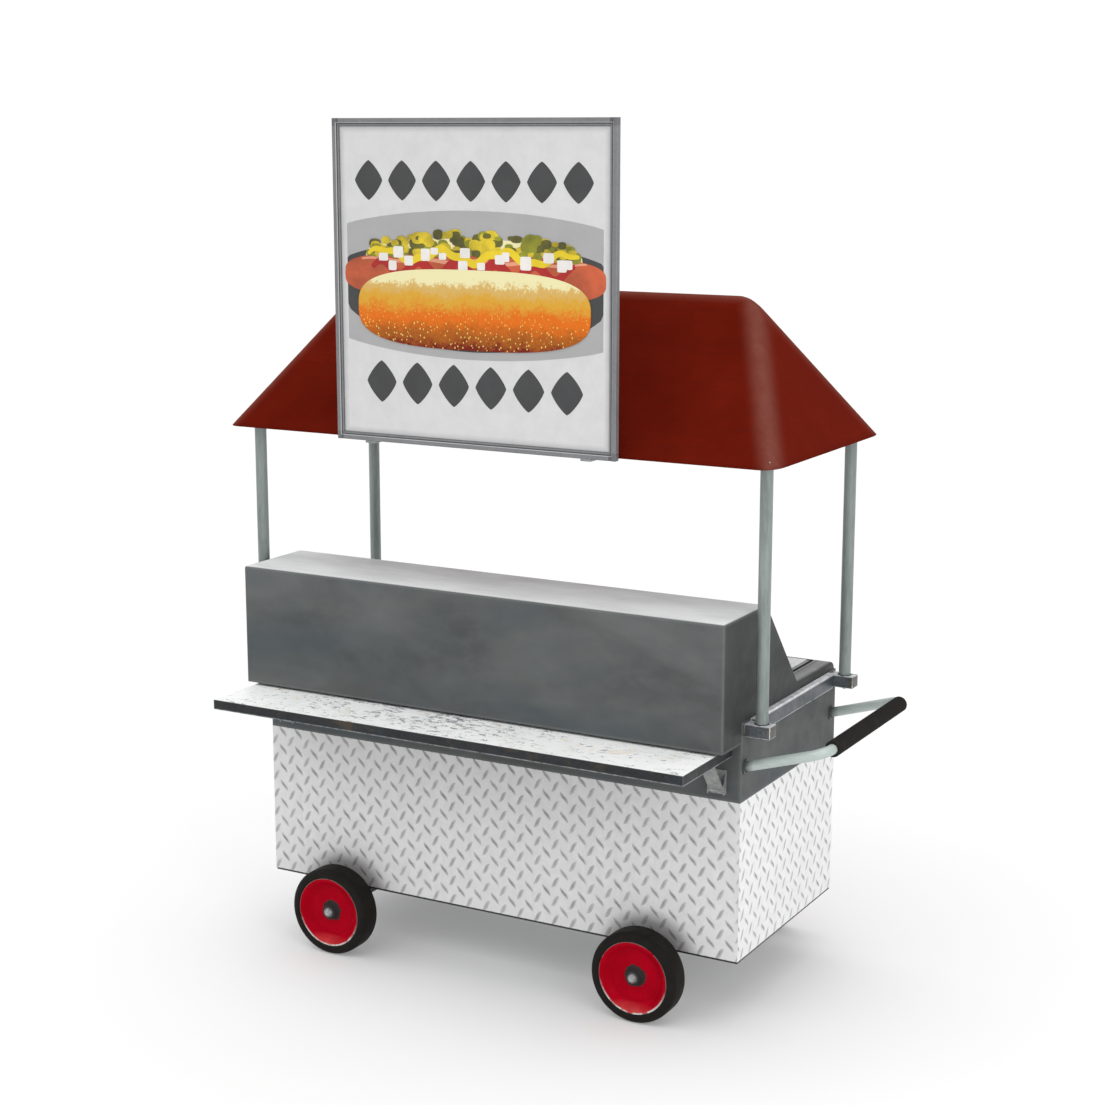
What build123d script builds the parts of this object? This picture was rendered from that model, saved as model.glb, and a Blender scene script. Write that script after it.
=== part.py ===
from build123d import *

import math
import os

# Push vending cart with a canopy roof, a sign, a fold-down serving shelf and
# an operator's side with warming pans, flaps and doors.
# Millimetres. X runs along the cart towards the push handle, Y from the
# customer's side to the operator's side, Z up. The dimensions below are taken
# from the middle of the body's footprint, on the floor; save() moves each
# finished piece so that the origin is under the middle of the whole cart.

# body
BODY_HALF_X = 900.0
BODY_HALF_Y = 389.5
SHEET = 2.0
PANEL_Z0 = 225.0
PANEL_Z1 = 750.0
BAND_Z1 = 1009.0
TUBE = 40.0
TUBE_WALL = 3.0
RAIL_Z0 = PANEL_Z0 - 7.0
RAIL_Z1 = RAIL_Z0 + TUBE
CROSS_X = (-878.0, -293.0, 293.0, 878.0)
FLOOR_T = 2.0

# wheels
WHEEL_X = 590.0
WHEEL_R = 152.5
WHEEL_W = 90.0
WHEEL_IN_Y = 426.0
TYRE_BEAD_R = 122.0
AXLE_R = 12.5
RUN_GAP = 0.06
HANGER_Y = (363.0, 371.0)
CAP_REACH_Y = 521.0

# rails, brackets and posts
POST_X = 949.6
POST_Y = 347.0
POST_R = 20.0
POST_WALL = 2.0
POST_TOP_Z = 1845.0
BRACKET_W = 50.0
BRACKET_Z = (962.0, 1004.0)
BRACKET_OUT_X = 988.0
BRACKET_WALL = 3.0
RAIL_OUT = 18.0
END_RAIL_Z = (957.5, 1009.5)

# roof
EAVE_X = 1019.0
EAVE_Y = 458.0
EAVE_Z = 1817.0
RIDGE_X = 745.0
RIDGE_Z = 2308.0
CANOPY_T = 3.0
HIP_ROUND = 36.0
ROOF_TUBE_R = 8.0
ROOF_TUBE_WALL = 1.5
ROOF_BALL_R = 11.0
EAVE_TUBE = (983.0, 414.0, 1829.0)
RIDGE_TUBE = (712.0, 0.0, 2254.0)
HIP_TUBE_GAP = 22.0
HIP_STEM_R = 3.2
HIP_PLUG_LENGTH = 12.0
TOP_FRAME = 25.0

# sign
SIGN_HALF = 515.0
SIGN_Z = (1813.5, 2844.5)
SIGN_Y = (-504.5, -484.5)
SIGN_BAR = 24.0
SIGN_PANEL_Y = (-497.0, -493.0)
STAY_X = 180.0
STAY_Z = 2318.0

# housing over the customer's half of the cart
HOUSING_FRONT_Y = -526.5
HOUSING_Z0 = 942.5
HOUSING_Z1 = 1348.5
HOUSING_TOP_Y = -211.5
HOUSING_FOOT_Y = 75.5
HOUSING_ROUND = 8.0
HOUSING_SHELF_HALF = 892.0
HOUSING_SHELF_BACK_Y = -250.0
HOUSING_SHELF_Z = 1182.0
HOUSING_SHELF_LIP = 20.0
FLAP_D = (4.0, 392.0)
FLAP_N = (-19.0, -2.0)
FLAP_PIVOT = (12.0, -9.0)
FLAP_ROD_R = 4.0
FLAP_X = (3.0, 891.0)

# counter, water tank, pans and lids
COUNTER_Z1 = 1035.0
COUNTER_X = 896.0
COUNTER_NOSE = 24.0
COUNTER_END_ROUND = 9.0
COUNTER_WALL = 10.0
WELL_X = (-155.0, 810.0)
WELL_Y = (80.0, 333.0)
TANK_Z0 = 862.0
TANK_WALL = 1.5
PAN_SIZE = (324.0, 265.0, 120.0)
PAN_PITCH = 326.0
PAN_CORNER = 12.0
LID_PIVOT = (65.0, 1046.0)
LID_ROD_R = 3.0
LID_GRIP_HALF = 42.0
LID_CROWN = 5.0

# serving shelf
SHELF_HALF_X = 873.0
SHELF_Y = (-746.5, -401.0)
SHELF_Z = (900.5, 933.5)
SHELF_PIVOT = (-396.3, 905.5)
HINGE_R = 4.0
PIN_R = 2.5
SHELF_HINGE_X = (-640.0, -215.0, 215.0, 640.0)
PROP_X = 824.0
PROP_PIVOT = (-401.5, 787.5)
PROP_LENGTH = 176.5
PROP_T = 5.0
PROP_W = 50.0
PROP_LEAN = math.degrees(math.asin(0.6))
PROP_PIN_R = 4.0
PROP_CHEEK_DEPTH = 21.0

# doors on the operator's side
DOOR_X = (2.0, 896.0)
DOOR_Y = (371.5, 389.5)
DOOR_Z = (329.0, 746.0)
DOOR_PIVOT = (896.0, 393.9)
DOOR_HINGE_Z = (400.0, 675.0)
DOOR_KNUCKLE_R = 4.0
DOOR_PIN_R = 2.0

# push handle
HANDLE_R = 16.5
HANDLE_WALL = 2.0
HANDLE_Y = 355.0
HANDLE_ROOT_Z = 861.5
HANDLE_BAR = (1165.0, 941.5)
HANDLE_BEND = 55.0
GRIP_R = 26.0
GRIP_HALF = 298.0

# gas burner
KNOB_X = (90.0, 560.0)
KNOB_Z = 800.0
KNOB_R = 22.0
STEM_R = 4.0

MID_X = (HANDLE_BAR[0] + GRIP_R - EAVE_X) / 2
MID_Y = (SHELF_Y[0] + CAP_REACH_Y) / 2


def save(name, *solids):
    """Writes one piece, or a group of identical pieces, to parts/."""
    shape = solids[0] if len(solids) == 1 else Compound(children=list(solids))
    export_step(Pos(-MID_X, -MID_Y, 0) * shape, "parts/" + name + ".step")


def block(xs, ys, zs):
    """A box between two X, two Y and two Z values."""
    low = [min(pair) for pair in (xs, ys, zs)]
    size = [max(pair) - min(pair) for pair in (xs, ys, zs)]
    corner = (Align.MIN, Align.MIN, Align.MIN)
    return Pos(*low) * Box(*size, align=corner)


def bar(start, end, radius):
    """A round bar from one point to another."""
    way = Vector(*end) - Vector(*start)
    seat = Plane(origin=start, z_dir=way)
    low = (Align.CENTER, Align.CENTER, Align.MIN)
    return seat * Cylinder(radius, way.length, align=low)


def pipe(start, end, radius, wall):
    """A round tube from one point to another."""
    return bar(start, end, radius) - bar(start, end, radius - wall)


def box_tube(xs, ys, zs, wall, along):
    """A square tube that is open at both ends along one axis."""
    spans = [sorted(xs), sorted(ys), sorted(zs)]
    inner = []
    for index, (low, high) in enumerate(spans):
        inset = -1.0 if index == along else wall
        inner.append((low + inset, high - inset))
    return block(*spans) - block(*inner)


def prism(points, way):
    """A flat outline pushed along a vector."""
    face = make_face(Polyline(*points, close=True))
    length = Vector(*way).length
    return extrude(face, amount=length, dir=way)


def turned(points, centre_x, centre_z):
    """A wheel-like solid from (radius, y) points about an axis along Y."""
    outline = [(centre_x, y, centre_z + radius) for radius, y in points]
    face = make_face(Polyline(*outline, close=True))
    return revolve(face, axis=Axis((centre_x, 0, centre_z), (0, 1, 0)))


def circles_of(solid, radius):
    """The circular edges of one radius."""
    rounds = solid.edges().filter_by(GeomType.CIRCLE)
    return rounds.filter_by(lambda edge: abs(edge.radius - radius) < 0.01)


# ---------------------------------------------------------------- chassis


def chassis_rail(side):
    y_out = side * (BODY_HALF_Y - SHEET)
    y_in = y_out - side * TUBE
    x_end = BODY_HALF_X - SHEET
    return box_tube((-x_end, x_end), (y_in, y_out), (RAIL_Z0, RAIL_Z1), TUBE_WALL, 0)


def chassis_cross(x):
    y_end = BODY_HALF_Y - SHEET - TUBE
    xs = (x - TUBE / 2, x + TUBE / 2)
    return box_tube(xs, (-y_end, y_end), (RAIL_Z0, RAIL_Z1), TUBE_WALL, 1)


def axle_hanger(side_x, side_y):
    x = side_x * WHEEL_X
    y = side_y * HANGER_Y[0]
    top = RAIL_Z0
    outline = [(x - 85, y, top), (x + 85, y, top), (x + 85, y, top - 8), (x + 24, y, 144), (x - 24, y, 144)]
    outline.append((x - 85, y, top - 8))
    thick = HANGER_Y[1] - HANGER_Y[0]
    plate = prism(outline, (0, side_y * thick, 0))
    boss = bar((x, y, WHEEL_R), (x, side_y * HANGER_Y[1], WHEEL_R), 27)
    bore = bar((x, y - side_y, WHEEL_R), (x, side_y * (HANGER_Y[1] + 1), WHEEL_R), AXLE_R + RUN_GAP)
    return plate + boss - bore


def corner_upright(side_x, side_y):
    """An angle that stands in one corner of the cabinet."""
    x_out = side_x * (BODY_HALF_X - SHEET)
    y_out = side_y * (BODY_HALF_Y - SHEET) if side_y < 0 else DOOR_Y[0] - 1.5
    zs = (RAIL_Z1 + FLOOR_T, BAND_Z1 - 2)
    along_end = block((x_out, x_out - side_x * 3), (y_out, y_out - side_y * 30), zs)
    along_face = block((x_out, x_out - side_x * 30), (y_out, y_out - side_y * 3), zs)
    return along_end + along_face


def build_chassis():
    save("chassis_frame", chassis_rail(-1), chassis_rail(1), *[chassis_cross(x) for x in CROSS_X])
    save("axle_hangers", *[axle_hanger(sx, sy) for sx in (-1, 1) for sy in (-1, 1)])
    floor = block((-894, 894), (-384, 366), (RAIL_Z1, RAIL_Z1 + FLOOR_T))
    save("floor_pan", floor)
    uprights = [corner_upright(sx, sy) for sx in (-1, 1) for sy in (-1, 1)]
    zs = (RAIL_Z1 + FLOOR_T, PANEL_Z1 - 2)
    uprights.append(box_tube((-20, 20), (DOOR_Y[0] - 31.5, DOOR_Y[0] - 1.5), zs, 2, 2))
    save("cabinet_uprights", *uprights)


# ----------------------------------------------------------------- wheels


def tyre(x, side):
    y0 = side * WHEEL_IN_Y
    y1 = side * (WHEEL_IN_Y + WHEEL_W)
    ring = bar((x, y0, WHEEL_R), (x, y1, WHEEL_R), WHEEL_R)
    ring = ring - bar((x, y0 - side, WHEEL_R), (x, y1 + side, WHEEL_R), TYRE_BEAD_R)
    ring = fillet(circles_of(ring, WHEEL_R), 17)
    return fillet(circles_of(ring, TYRE_BEAD_R), 3)


def rim(x, side):
    """Barrel, dished web and hub, as one pressed and welded piece."""
    bore = AXLE_R + RUN_GAP
    edge = TYRE_BEAD_R - 0.1
    outline = [(bore, 8), (27, 8), (27, 55), (40, 58), (100, 64), (113, 68), (113, 5), (edge, 5)]
    outline += [(edge, 86), (113, 86), (113, 73), (100, 68.5), (40, 62), (27, 60), (27, 78), (bore, 78)]
    points = [(radius, side * (WHEEL_IN_Y + depth)) for radius, depth in outline]
    return turned(points, x, WHEEL_R)


def axle_cap(x, side):
    """Washer and domed nut on the end of an axle."""
    bore = AXLE_R + RUN_GAP
    outline = [(bore, 504.6), (25, 504.6), (25, 507.6), (17, 508.4), (17, 514), (14.5, 518)]
    outline += [(8, CAP_REACH_Y - 0.8), (0, CAP_REACH_Y), (0, 508.6), (bore, 508.6)]
    points = [(radius, side * reach) for radius, reach in outline]
    return turned(points, x, WHEEL_R)


def axle_spacer(x, side):
    start = (x, side * (HANGER_Y[1] + 0.2), WHEEL_R)
    end = (x, side * (WHEEL_IN_Y + 7.5), WHEEL_R)
    return bar(start, end, 19) - bar(start, end, AXLE_R + RUN_GAP)


def build_wheels():
    axles = []
    caps = []
    spacers = []
    for x in (-WHEEL_X, WHEEL_X):
        axles.append(bar((x, -508.4, WHEEL_R), (x, 508.4, WHEEL_R), AXLE_R))
        for side, place in ((-1, "front"), (1, "rear")):
            name = place + ("_left" if x < 0 else "_right")
            save("tyre_" + name, tyre(x, side))
            save("rim_" + name, rim(x, side))
            caps.append(axle_cap(x, side))
            spacers.append(axle_spacer(x, side))
    save("axles", *axles)
    save("axle_caps", *caps)
    save("axle_spacers", *spacers)


# ----------------------------------------------------------------- panels


def wall(side_x, zs):
    xs = (side_x * (BODY_HALF_X - SHEET), side_x * BODY_HALF_X)
    y_end = BODY_HALF_Y - SHEET
    return block(xs, (-y_end, y_end), zs)


def face_sheet(side_y, zs):
    ys = (side_y * (BODY_HALF_Y - SHEET), side_y * BODY_HALF_Y)
    return block((-BODY_HALF_X, BODY_HALF_X), ys, zs)


def rear_band():
    sheet = face_sheet(1, (PANEL_Z1, BAND_Z1))
    for x in KNOB_X:
        sheet -= bar((x, BODY_HALF_Y - 5, KNOB_Z), (x, BODY_HALF_Y + 5, KNOB_Z), STEM_R + RUN_GAP)
    return sheet


def build_panels():
    low = (PANEL_Z0, PANEL_Z1)
    high = (PANEL_Z1, BAND_Z1)
    save("tread_panel_front", face_sheet(-1, low))
    save("tread_panel_left_end", wall(-1, low))
    save("tread_panel_right_end", wall(1, low))
    save("tread_sill_rear", face_sheet(1, (PANEL_Z0, DOOR_Z[0] - 4)))
    save("band_front", face_sheet(-1, high))
    save("band_left_end", wall(-1, high))
    save("band_right_end", wall(1, high))
    save("band_rear", rear_band())


# ------------------------------------------------------------------ doors


def hinge_knuckle(x, y, zs, radius, pin):
    start = (x, y, zs[0])
    end = (x, y, zs[1])
    return bar(start, end, radius) - bar(start, end, pin)


def door(side):
    """A folded tray with its two hinge knuckles."""
    xs = (side * DOOR_X[0], side * DOOR_X[1])
    inner = (side * (DOOR_X[0] + SHEET), side * (DOOR_X[1] - SHEET))
    tray = block(xs, DOOR_Y, DOOR_Z)
    hollow_z = (DOOR_Z[0] + SHEET, DOOR_Z[1] - SHEET)
    tray -= block(inner, (DOOR_Y[0] - 1, DOOR_Y[1] - SHEET), hollow_z)
    for z in DOOR_HINGE_Z:
        zs = (z + 0.4, z + 36)
        leaf_x = (side * DOOR_PIVOT[0], side * (DOOR_PIVOT[0] - 24))
        leaf = block(leaf_x, (DOOR_Y[1], DOOR_Y[1] + 3), zs)
        bore_r = DOOR_PIN_R + RUN_GAP
        leaf -= bar((leaf_x[0], DOOR_PIVOT[1], z - 1), (leaf_x[0], DOOR_PIVOT[1], z + 40), bore_r)
        knuckle = hinge_knuckle(leaf_x[0], DOOR_PIVOT[1], zs, DOOR_KNUCKLE_R, bore_r)
        tray += leaf + knuckle
    return tray


def door_hinge(side, z):
    """Knuckle and pin of one door hinge, on a leaf that runs in beside the door to the end panel."""
    x = side * DOOR_PIVOT[0]
    y = DOOR_PIVOT[1]
    knuckle = bar((x, y, z - 36), (x, y, z), DOOR_KNUCKLE_R)
    pin = bar((x, y, z - 1), (x, y, z + 35), DOOR_PIN_R)
    leaf_x = (side * (DOOR_X[1] + 0.4), side * (BODY_HALF_X - SHEET))
    leaf = block(leaf_x, (DOOR_Y[0] - 1.5, y), (z - 36, z))
    return knuckle + pin + leaf


def pull_handle(side):
    """A bent-bar pull beside the middle of the cabinet."""
    x = side * 60
    y = BODY_HALF_Y
    points = [(x, y, 500), (x, y + 34, 500), (x, y + 34, 620), (x, y, 620)]
    path = FilletPolyline(*points, radius=12)
    section = Plane(origin=points[0], z_dir=(0, 1, 0)) * Circle(5)
    return sweep(section, path=path)


def build_doors():
    save("door_left", door(-1), pull_handle(-1))
    save("door_right", door(1), pull_handle(1))
    save("door_hinges", *[door_hinge(side, z) for side in (-1, 1) for z in DOOR_HINGE_Z])


# --------------------------------------------- end rails, brackets, posts


def end_rail(side):
    xs = (side * BODY_HALF_X, side * (BODY_HALF_X + RAIL_OUT))
    y_end = POST_Y - BRACKET_W / 2
    return box_tube(xs, (-y_end, y_end), END_RAIL_Z, TUBE_WALL, 1)


def post_bracket(side_x, side_y):
    xs = (side_x * BODY_HALF_X, side_x * BRACKET_OUT_X)
    y = side_y * POST_Y
    ys = (y - BRACKET_W / 2, y + BRACKET_W / 2)
    body = fillet(block(xs, ys, BRACKET_Z).edges(), 3)
    inner_x = (side_x * (BODY_HALF_X + BRACKET_WALL), side_x * (BRACKET_OUT_X - BRACKET_WALL))
    inner_y = (ys[0] + BRACKET_WALL, ys[1] - BRACKET_WALL)
    body -= block(inner_x, inner_y, (BRACKET_Z[0] + BRACKET_WALL, BRACKET_Z[1] - BRACKET_WALL))
    x = side_x * POST_X
    body -= bar((x, y, BRACKET_Z[1] - 6), (x, y, BRACKET_Z[1] + 6), POST_R + RUN_GAP)
    return body - bar((x, y, BRACKET_Z[0] - 1), (x, y, BRACKET_Z[0] + 6), 4 + RUN_GAP)


def post(side_x, side_y):
    """A tube with a drilled plug in its foot."""
    x = side_x * POST_X
    y = side_y * POST_Y
    foot = BRACKET_Z[0] + BRACKET_WALL + 0.1
    tube = pipe((x, y, foot), (x, y, POST_TOP_Z), POST_R, POST_WALL)
    plug = bar((x, y, foot), (x, y, foot + 14), POST_R - POST_WALL / 2)
    return tube + plug - bar((x, y, foot - 1), (x, y, foot + 15), 4 + RUN_GAP)


def post_bolt(side_x, side_y):
    x = side_x * POST_X
    y = side_y * POST_Y
    z = BRACKET_Z[0]
    head = Pos(x, y, z - 6.5) * extrude(RegularPolygon(7.5, 6), amount=6.4)
    return head + bar((x, y, z - 2), (x, y, z + 22), 4)


def build_posts():
    corners = [(sx, sy) for sx in (-1, 1) for sy in (-1, 1)]
    save("end_rails", end_rail(-1), end_rail(1))
    save("post_brackets", *[post_bracket(*corner) for corner in corners])
    save("roof_posts", *[post(*corner) for corner in corners])
    save("post_bolts", *[post_bolt(*corner) for corner in corners])


# ------------------------------------------------------------------- roof


def hip_solid(inset, radius, extra):
    """The roof's hipped outline, its planes moved inwards, its hips rounded."""
    rise = RIDGE_Z - EAVE_Z
    side_slope = math.atan2(rise, EAVE_Y)
    end_slope = math.atan2(rise, EAVE_X - RIDGE_X)
    half_y = EAVE_Y - inset / math.sin(side_slope)
    half_x = EAVE_X - inset / math.sin(end_slope)
    top = EAVE_Z + half_y * math.tan(side_slope)
    low = EAVE_Z - extra
    low_y = half_y + extra / math.tan(side_slope)
    low_x = half_x + extra / math.tan(end_slope)
    top_x = half_x - (top - EAVE_Z) / math.tan(end_slope)
    reach = 1.1 * EAVE_X
    gable = prism([(-reach, -low_y, low), (-reach, low_y, low), (-reach, 0, top)], (2 * reach, 0, 0))
    ends = [(-low_x, -reach, low), (low_x, -reach, low), (top_x, -reach, top), (-top_x, -reach, top)]
    solid = gable & prism(ends, (0, 2 * reach, 0))
    slanted = [edge for edge in solid.edges() if edge.bounding_box().max.Z > low + 1]
    return fillet(slanted, radius)


def canopy():
    return hip_solid(0, HIP_ROUND, 0) - hip_solid(CANOPY_T, HIP_ROUND - CANOPY_T, 5)


def roof_tube(start, end, gap=ROOF_BALL_R):
    """A tube that stops on the connector balls at its two ends."""
    way = (Vector(*end) - Vector(*start)).normalized() * gap
    first = Vector(*start) + way
    last = Vector(*end) - way
    return pipe(tuple(first), tuple(last), ROOF_TUBE_R, ROOF_TUBE_WALL)


def hip_stem(start, end):
    """The stem and plug that carry one end of a hip tube, from the ball at start."""
    way = (Vector(*end) - Vector(*start)).normalized()
    plug_start = Vector(*start) + way * (HIP_TUBE_GAP + 0.5)
    plug_end = plug_start + way * HIP_PLUG_LENGTH
    stem = bar(start, tuple(plug_end), HIP_STEM_R)
    return stem + bar(tuple(plug_start), tuple(plug_end), ROOF_TUBE_R - ROOF_TUBE_WALL - RUN_GAP)


def roof_joint(place, *hip_ends):
    """A connector ball with a stem towards each hip tube that meets it."""
    joint = Pos(*place) * Sphere(ROOF_BALL_R)
    for end in hip_ends:
        joint += hip_stem(place, end)
    return joint


def build_roof():
    x, y, z = EAVE_TUBE
    rx, _, rz = RIDGE_TUBE
    save("canopy", canopy())
    long_tubes = [roof_tube((-x, side * y, z), (x, side * y, z)) for side in (-1, 1)]
    end_tubes = [roof_tube((side * x, -y, z), (side * x, y, z)) for side in (-1, 1)]
    corners = [(sx, sy) for sx in (-1, 1) for sy in (-1, 1)]
    hips = [roof_tube((sx * x, sy * y, z), (sx * rx, 0, rz), HIP_TUBE_GAP) for sx, sy in corners]
    ridge = roof_tube((-rx, 0, rz), (rx, 0, rz))
    save("roof_tubes", *long_tubes, *end_tubes, *hips, ridge)
    joints = [roof_joint((sx * x, sy * y, z), (sx * rx, 0, rz)) for sx, sy in corners]
    for side in (-1, 1):
        joints.append(roof_joint((side * rx, 0, rz), (side * x, -y, z), (side * x, y, z)))
    save("roof_connectors", *joints)
    half = TOP_FRAME / 2
    zs = (POST_TOP_Z, POST_TOP_Z + TOP_FRAME)
    bars = []
    for side in (-1, 1):
        across = (side * (POST_X - half), side * (POST_X + half))
        bars.append(box_tube(across, (-POST_Y - half, POST_Y + half), zs, 2, 1))
        along = (side * POST_Y - half, side * POST_Y + half)
        bars.append(box_tube((-POST_X + half, POST_X - half), along, zs, 2, 0))
    save("roof_top_frame", *bars)


# ------------------------------------------------------------------- sign


def sign_bar(xs, zs, along):
    """One frame profile: a box section with a lip that holds the panel."""
    return box_tube(xs, SIGN_Y, zs, 2, along)


def sign_strap(x):
    """A bent strap from the foot of the sign, under the hem, to the eave tube."""
    tube_y = -EAVE_TUBE[1]
    tube_z = EAVE_TUBE[2] - ROOF_TUBE_R
    xs = (x - 18, x + 18)
    front = block(xs, (SIGN_Y[1], SIGN_Y[1] + 4), (1803, 1836))
    level = block(xs, (SIGN_Y[1], tube_y + 6), (1803, 1807))
    back = block(xs, (tube_y + 2, tube_y + 6), (1803, tube_z))
    return front + level + back


def sign_stay(x):
    """A stay from the back of the sign to a foot on the ridge."""
    top = RIDGE_Z - 0.45 * HIP_ROUND + 2.5
    rod = bar((x, SIGN_Y[1] + 3, STAY_Z), (x, 0, STAY_Z), 7)
    plate = block((x - 20, x + 20), (SIGN_Y[1], SIGN_Y[1] + 4), (STAY_Z - 20, STAY_Z + 20))
    leg = bar((x, 0, top), (x, 0, STAY_Z), 7)
    foot = block((x - 30, x + 30), (-14, 14), (top, top + 4))
    return rod + Pos(x, 0, STAY_Z) * Sphere(7) + plate + leg + foot


def build_sign():
    inner = SIGN_HALF - SIGN_BAR
    low, high = SIGN_Z
    bars = [sign_bar((side * inner, side * SIGN_HALF), SIGN_Z, 2) for side in (-1, 1)]
    bars.append(sign_bar((-inner, inner), (low, low + SIGN_BAR), 0))
    bars.append(sign_bar((-inner, inner), (high - SIGN_BAR, high), 0))
    back_ys = (SIGN_PANEL_Y[1] + 0.2, SIGN_Y[1])
    bars.append(block((-inner, inner), back_ys, (STAY_Z - 20, STAY_Z + 20)))
    save("sign_frame", *bars)
    save("sign_panel", block((-inner, inner), SIGN_PANEL_Y, (low + SIGN_BAR, high - SIGN_BAR)))
    save("sign_straps", sign_strap(-400), sign_strap(400))
    save("sign_stays", sign_stay(-STAY_X), sign_stay(STAY_X))


# ---------------------------------------------------------------- housing


def housing_body(inset, radius):
    """The housing's outer form, or the same moved inwards by the sheet."""
    front = HOUSING_FRONT_Y + inset
    top = HOUSING_Z1 - inset
    low = HOUSING_Z0 + inset
    half = BODY_HALF_X - inset
    seat_y = -BODY_HALF_Y - 0.2
    seat_z = BAND_Z1 + 0.2
    points = [(front, low), (front, top), (HOUSING_TOP_Y, top), (HOUSING_FOOT_Y, seat_z)]
    points += [(seat_y, seat_z), (seat_y, low)]
    if inset:
        points[2:] = [(HOUSING_FOOT_Y + 90, top), (HOUSING_FOOT_Y + 90, seat_z - 9), (seat_y + 5, seat_z - 9)]
        points.append((seat_y + 5, low))
    solid = prism([(-half, y, z) for y, z in points], (2 * half, 0, 0))
    picked = []
    for edge in solid.edges():
        box = edge.bounding_box()
        on_front = abs(box.min.Y - front) < 0.01 and abs(box.max.Y - front) < 0.01
        on_top = abs(box.min.Z - top) < 0.01 and abs(box.max.Z - top) < 0.01
        runs_along = box.max.X - box.min.X > half
        if on_front and (on_top or not runs_along) or on_top and not runs_along:
            picked.append(edge)
    return fillet(picked, radius)


def slope_plane():
    """X along the cart, Y down the housing's slope, Z out of it."""
    fall = Vector(0, HOUSING_FOOT_Y - HOUSING_TOP_Y, BAND_Z1 - HOUSING_Z1)
    down = fall.normalized()
    return Plane(origin=(0, HOUSING_TOP_Y, HOUSING_Z1), x_dir=(1, 0, 0), z_dir=(0, -down.Z, down.Y))


def flap(side):
    """A folded tray that closes half of the slope, with its pull bar."""
    xs = (side * FLAP_X[0], side * FLAP_X[1])
    inner_x = (side * (FLAP_X[0] + SHEET), side * (FLAP_X[1] - SHEET))
    tray = block(xs, FLAP_D, FLAP_N)
    tray -= block(inner_x, (FLAP_D[0] + SHEET, FLAP_D[1] - SHEET), (FLAP_N[0] - 1, FLAP_N[1] - SHEET))
    d, n = FLAP_PIVOT
    tray -= bar((-BODY_HALF_X, d, n), (BODY_HALF_X, d, n), FLAP_ROD_R + RUN_GAP)
    mid = side * (FLAP_X[0] + FLAP_X[1]) / 2
    grip_d = FLAP_D[1] - 40
    grip_n = FLAP_N[1] + 26
    pull = bar((mid - 90, grip_d, grip_n), (mid + 90, grip_d, grip_n), 6)
    for x in (mid - 80, mid + 80):
        pull += bar((x, grip_d, FLAP_N[1] - 1), (x, grip_d, grip_n), 5)
    return slope_plane() * (tray + pull)


def flap_rod():
    """The rod that both flaps turn on, with its middle hanger."""
    d, n = FLAP_PIVOT
    reach = BODY_HALF_X - SHEET
    rod = slope_plane() * bar((-reach, d, n), (reach, d, n), FLAP_ROD_R)
    hanger_y = (HOUSING_TOP_Y - 30, HOUSING_TOP_Y + 3)
    hanger = block((-1.5, 1.5), hanger_y, (HOUSING_Z1 - 24, HOUSING_Z1 - SHEET))
    return rod + hanger


def build_housing():
    shell = housing_body(0, HOUSING_ROUND) - housing_body(SHEET, HOUSING_ROUND - SHEET)
    save("housing_shell", shell)
    save("housing_flap_left", flap(-1))
    save("housing_flap_right", flap(1))
    save("housing_flap_rod", flap_rod())
    half = HOUSING_SHELF_HALF
    back, top = HOUSING_SHELF_BACK_Y, HOUSING_SHELF_Z
    foot = top - HOUSING_SHELF_LIP
    shelf = block((-half, half), (HOUSING_FRONT_Y + 4, back), (top - SHEET, top))
    shelf += block((-half, half), (back - SHEET, back), (foot, top))
    for side in (-1, 1):
        shelf += block((side * (half - SHEET), side * half), (HOUSING_FRONT_Y + 12, back), (foot, top))
    save("housing_shelf", shelf)


# ---------------------------------------------------------------- counter


def round_top(solid, top, radius, wanted):
    """Rounds the edges on a solid's top face whose bounding boxes pass a test."""
    picked = []
    for edge in solid.edges():
        box = edge.bounding_box()
        if box.min.Z > top - 0.01 and wanted(box):
            picked.append(edge)
    return fillet(picked, radius)


def counter():
    """A folded worktop: a rounded nose at the back, softened ends, and a collar round the tank's well."""
    slab = block((-COUNTER_X, COUNTER_X), (-387, BODY_HALF_Y), (BAND_Z1 + 0.2, COUNTER_Z1))
    slab = round_top(slab, COUNTER_Z1, COUNTER_NOSE, lambda box: box.min.Y > BODY_HALF_Y - 0.01)
    slab = round_top(slab, COUNTER_Z1, COUNTER_END_ROUND, lambda box: box.max.X - box.min.X < 1)
    half = COUNTER_X - COUNTER_WALL
    back = BODY_HALF_Y - COUNTER_WALL
    ceiling = COUNTER_Z1 - 3
    hollow = block((-half, half), (-387 + COUNTER_WALL, back), (BAND_Z1 - 1, ceiling))
    slab -= round_top(hollow, ceiling, COUNTER_NOSE - COUNTER_WALL, lambda box: box.min.Y > back - 0.01)
    well = block(WELL_X, WELL_Y, (COUNTER_Z1 - 20, COUNTER_Z1 + 5))
    rim_x = (WELL_X[0] - 3, WELL_X[1] + 3)
    rim_y = (WELL_Y[0] - 3, WELL_Y[1] + 3)
    collar = block(rim_x, rim_y, (COUNTER_Z1 - 14, COUNTER_Z1 - 2))
    return slab + collar - well


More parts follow.
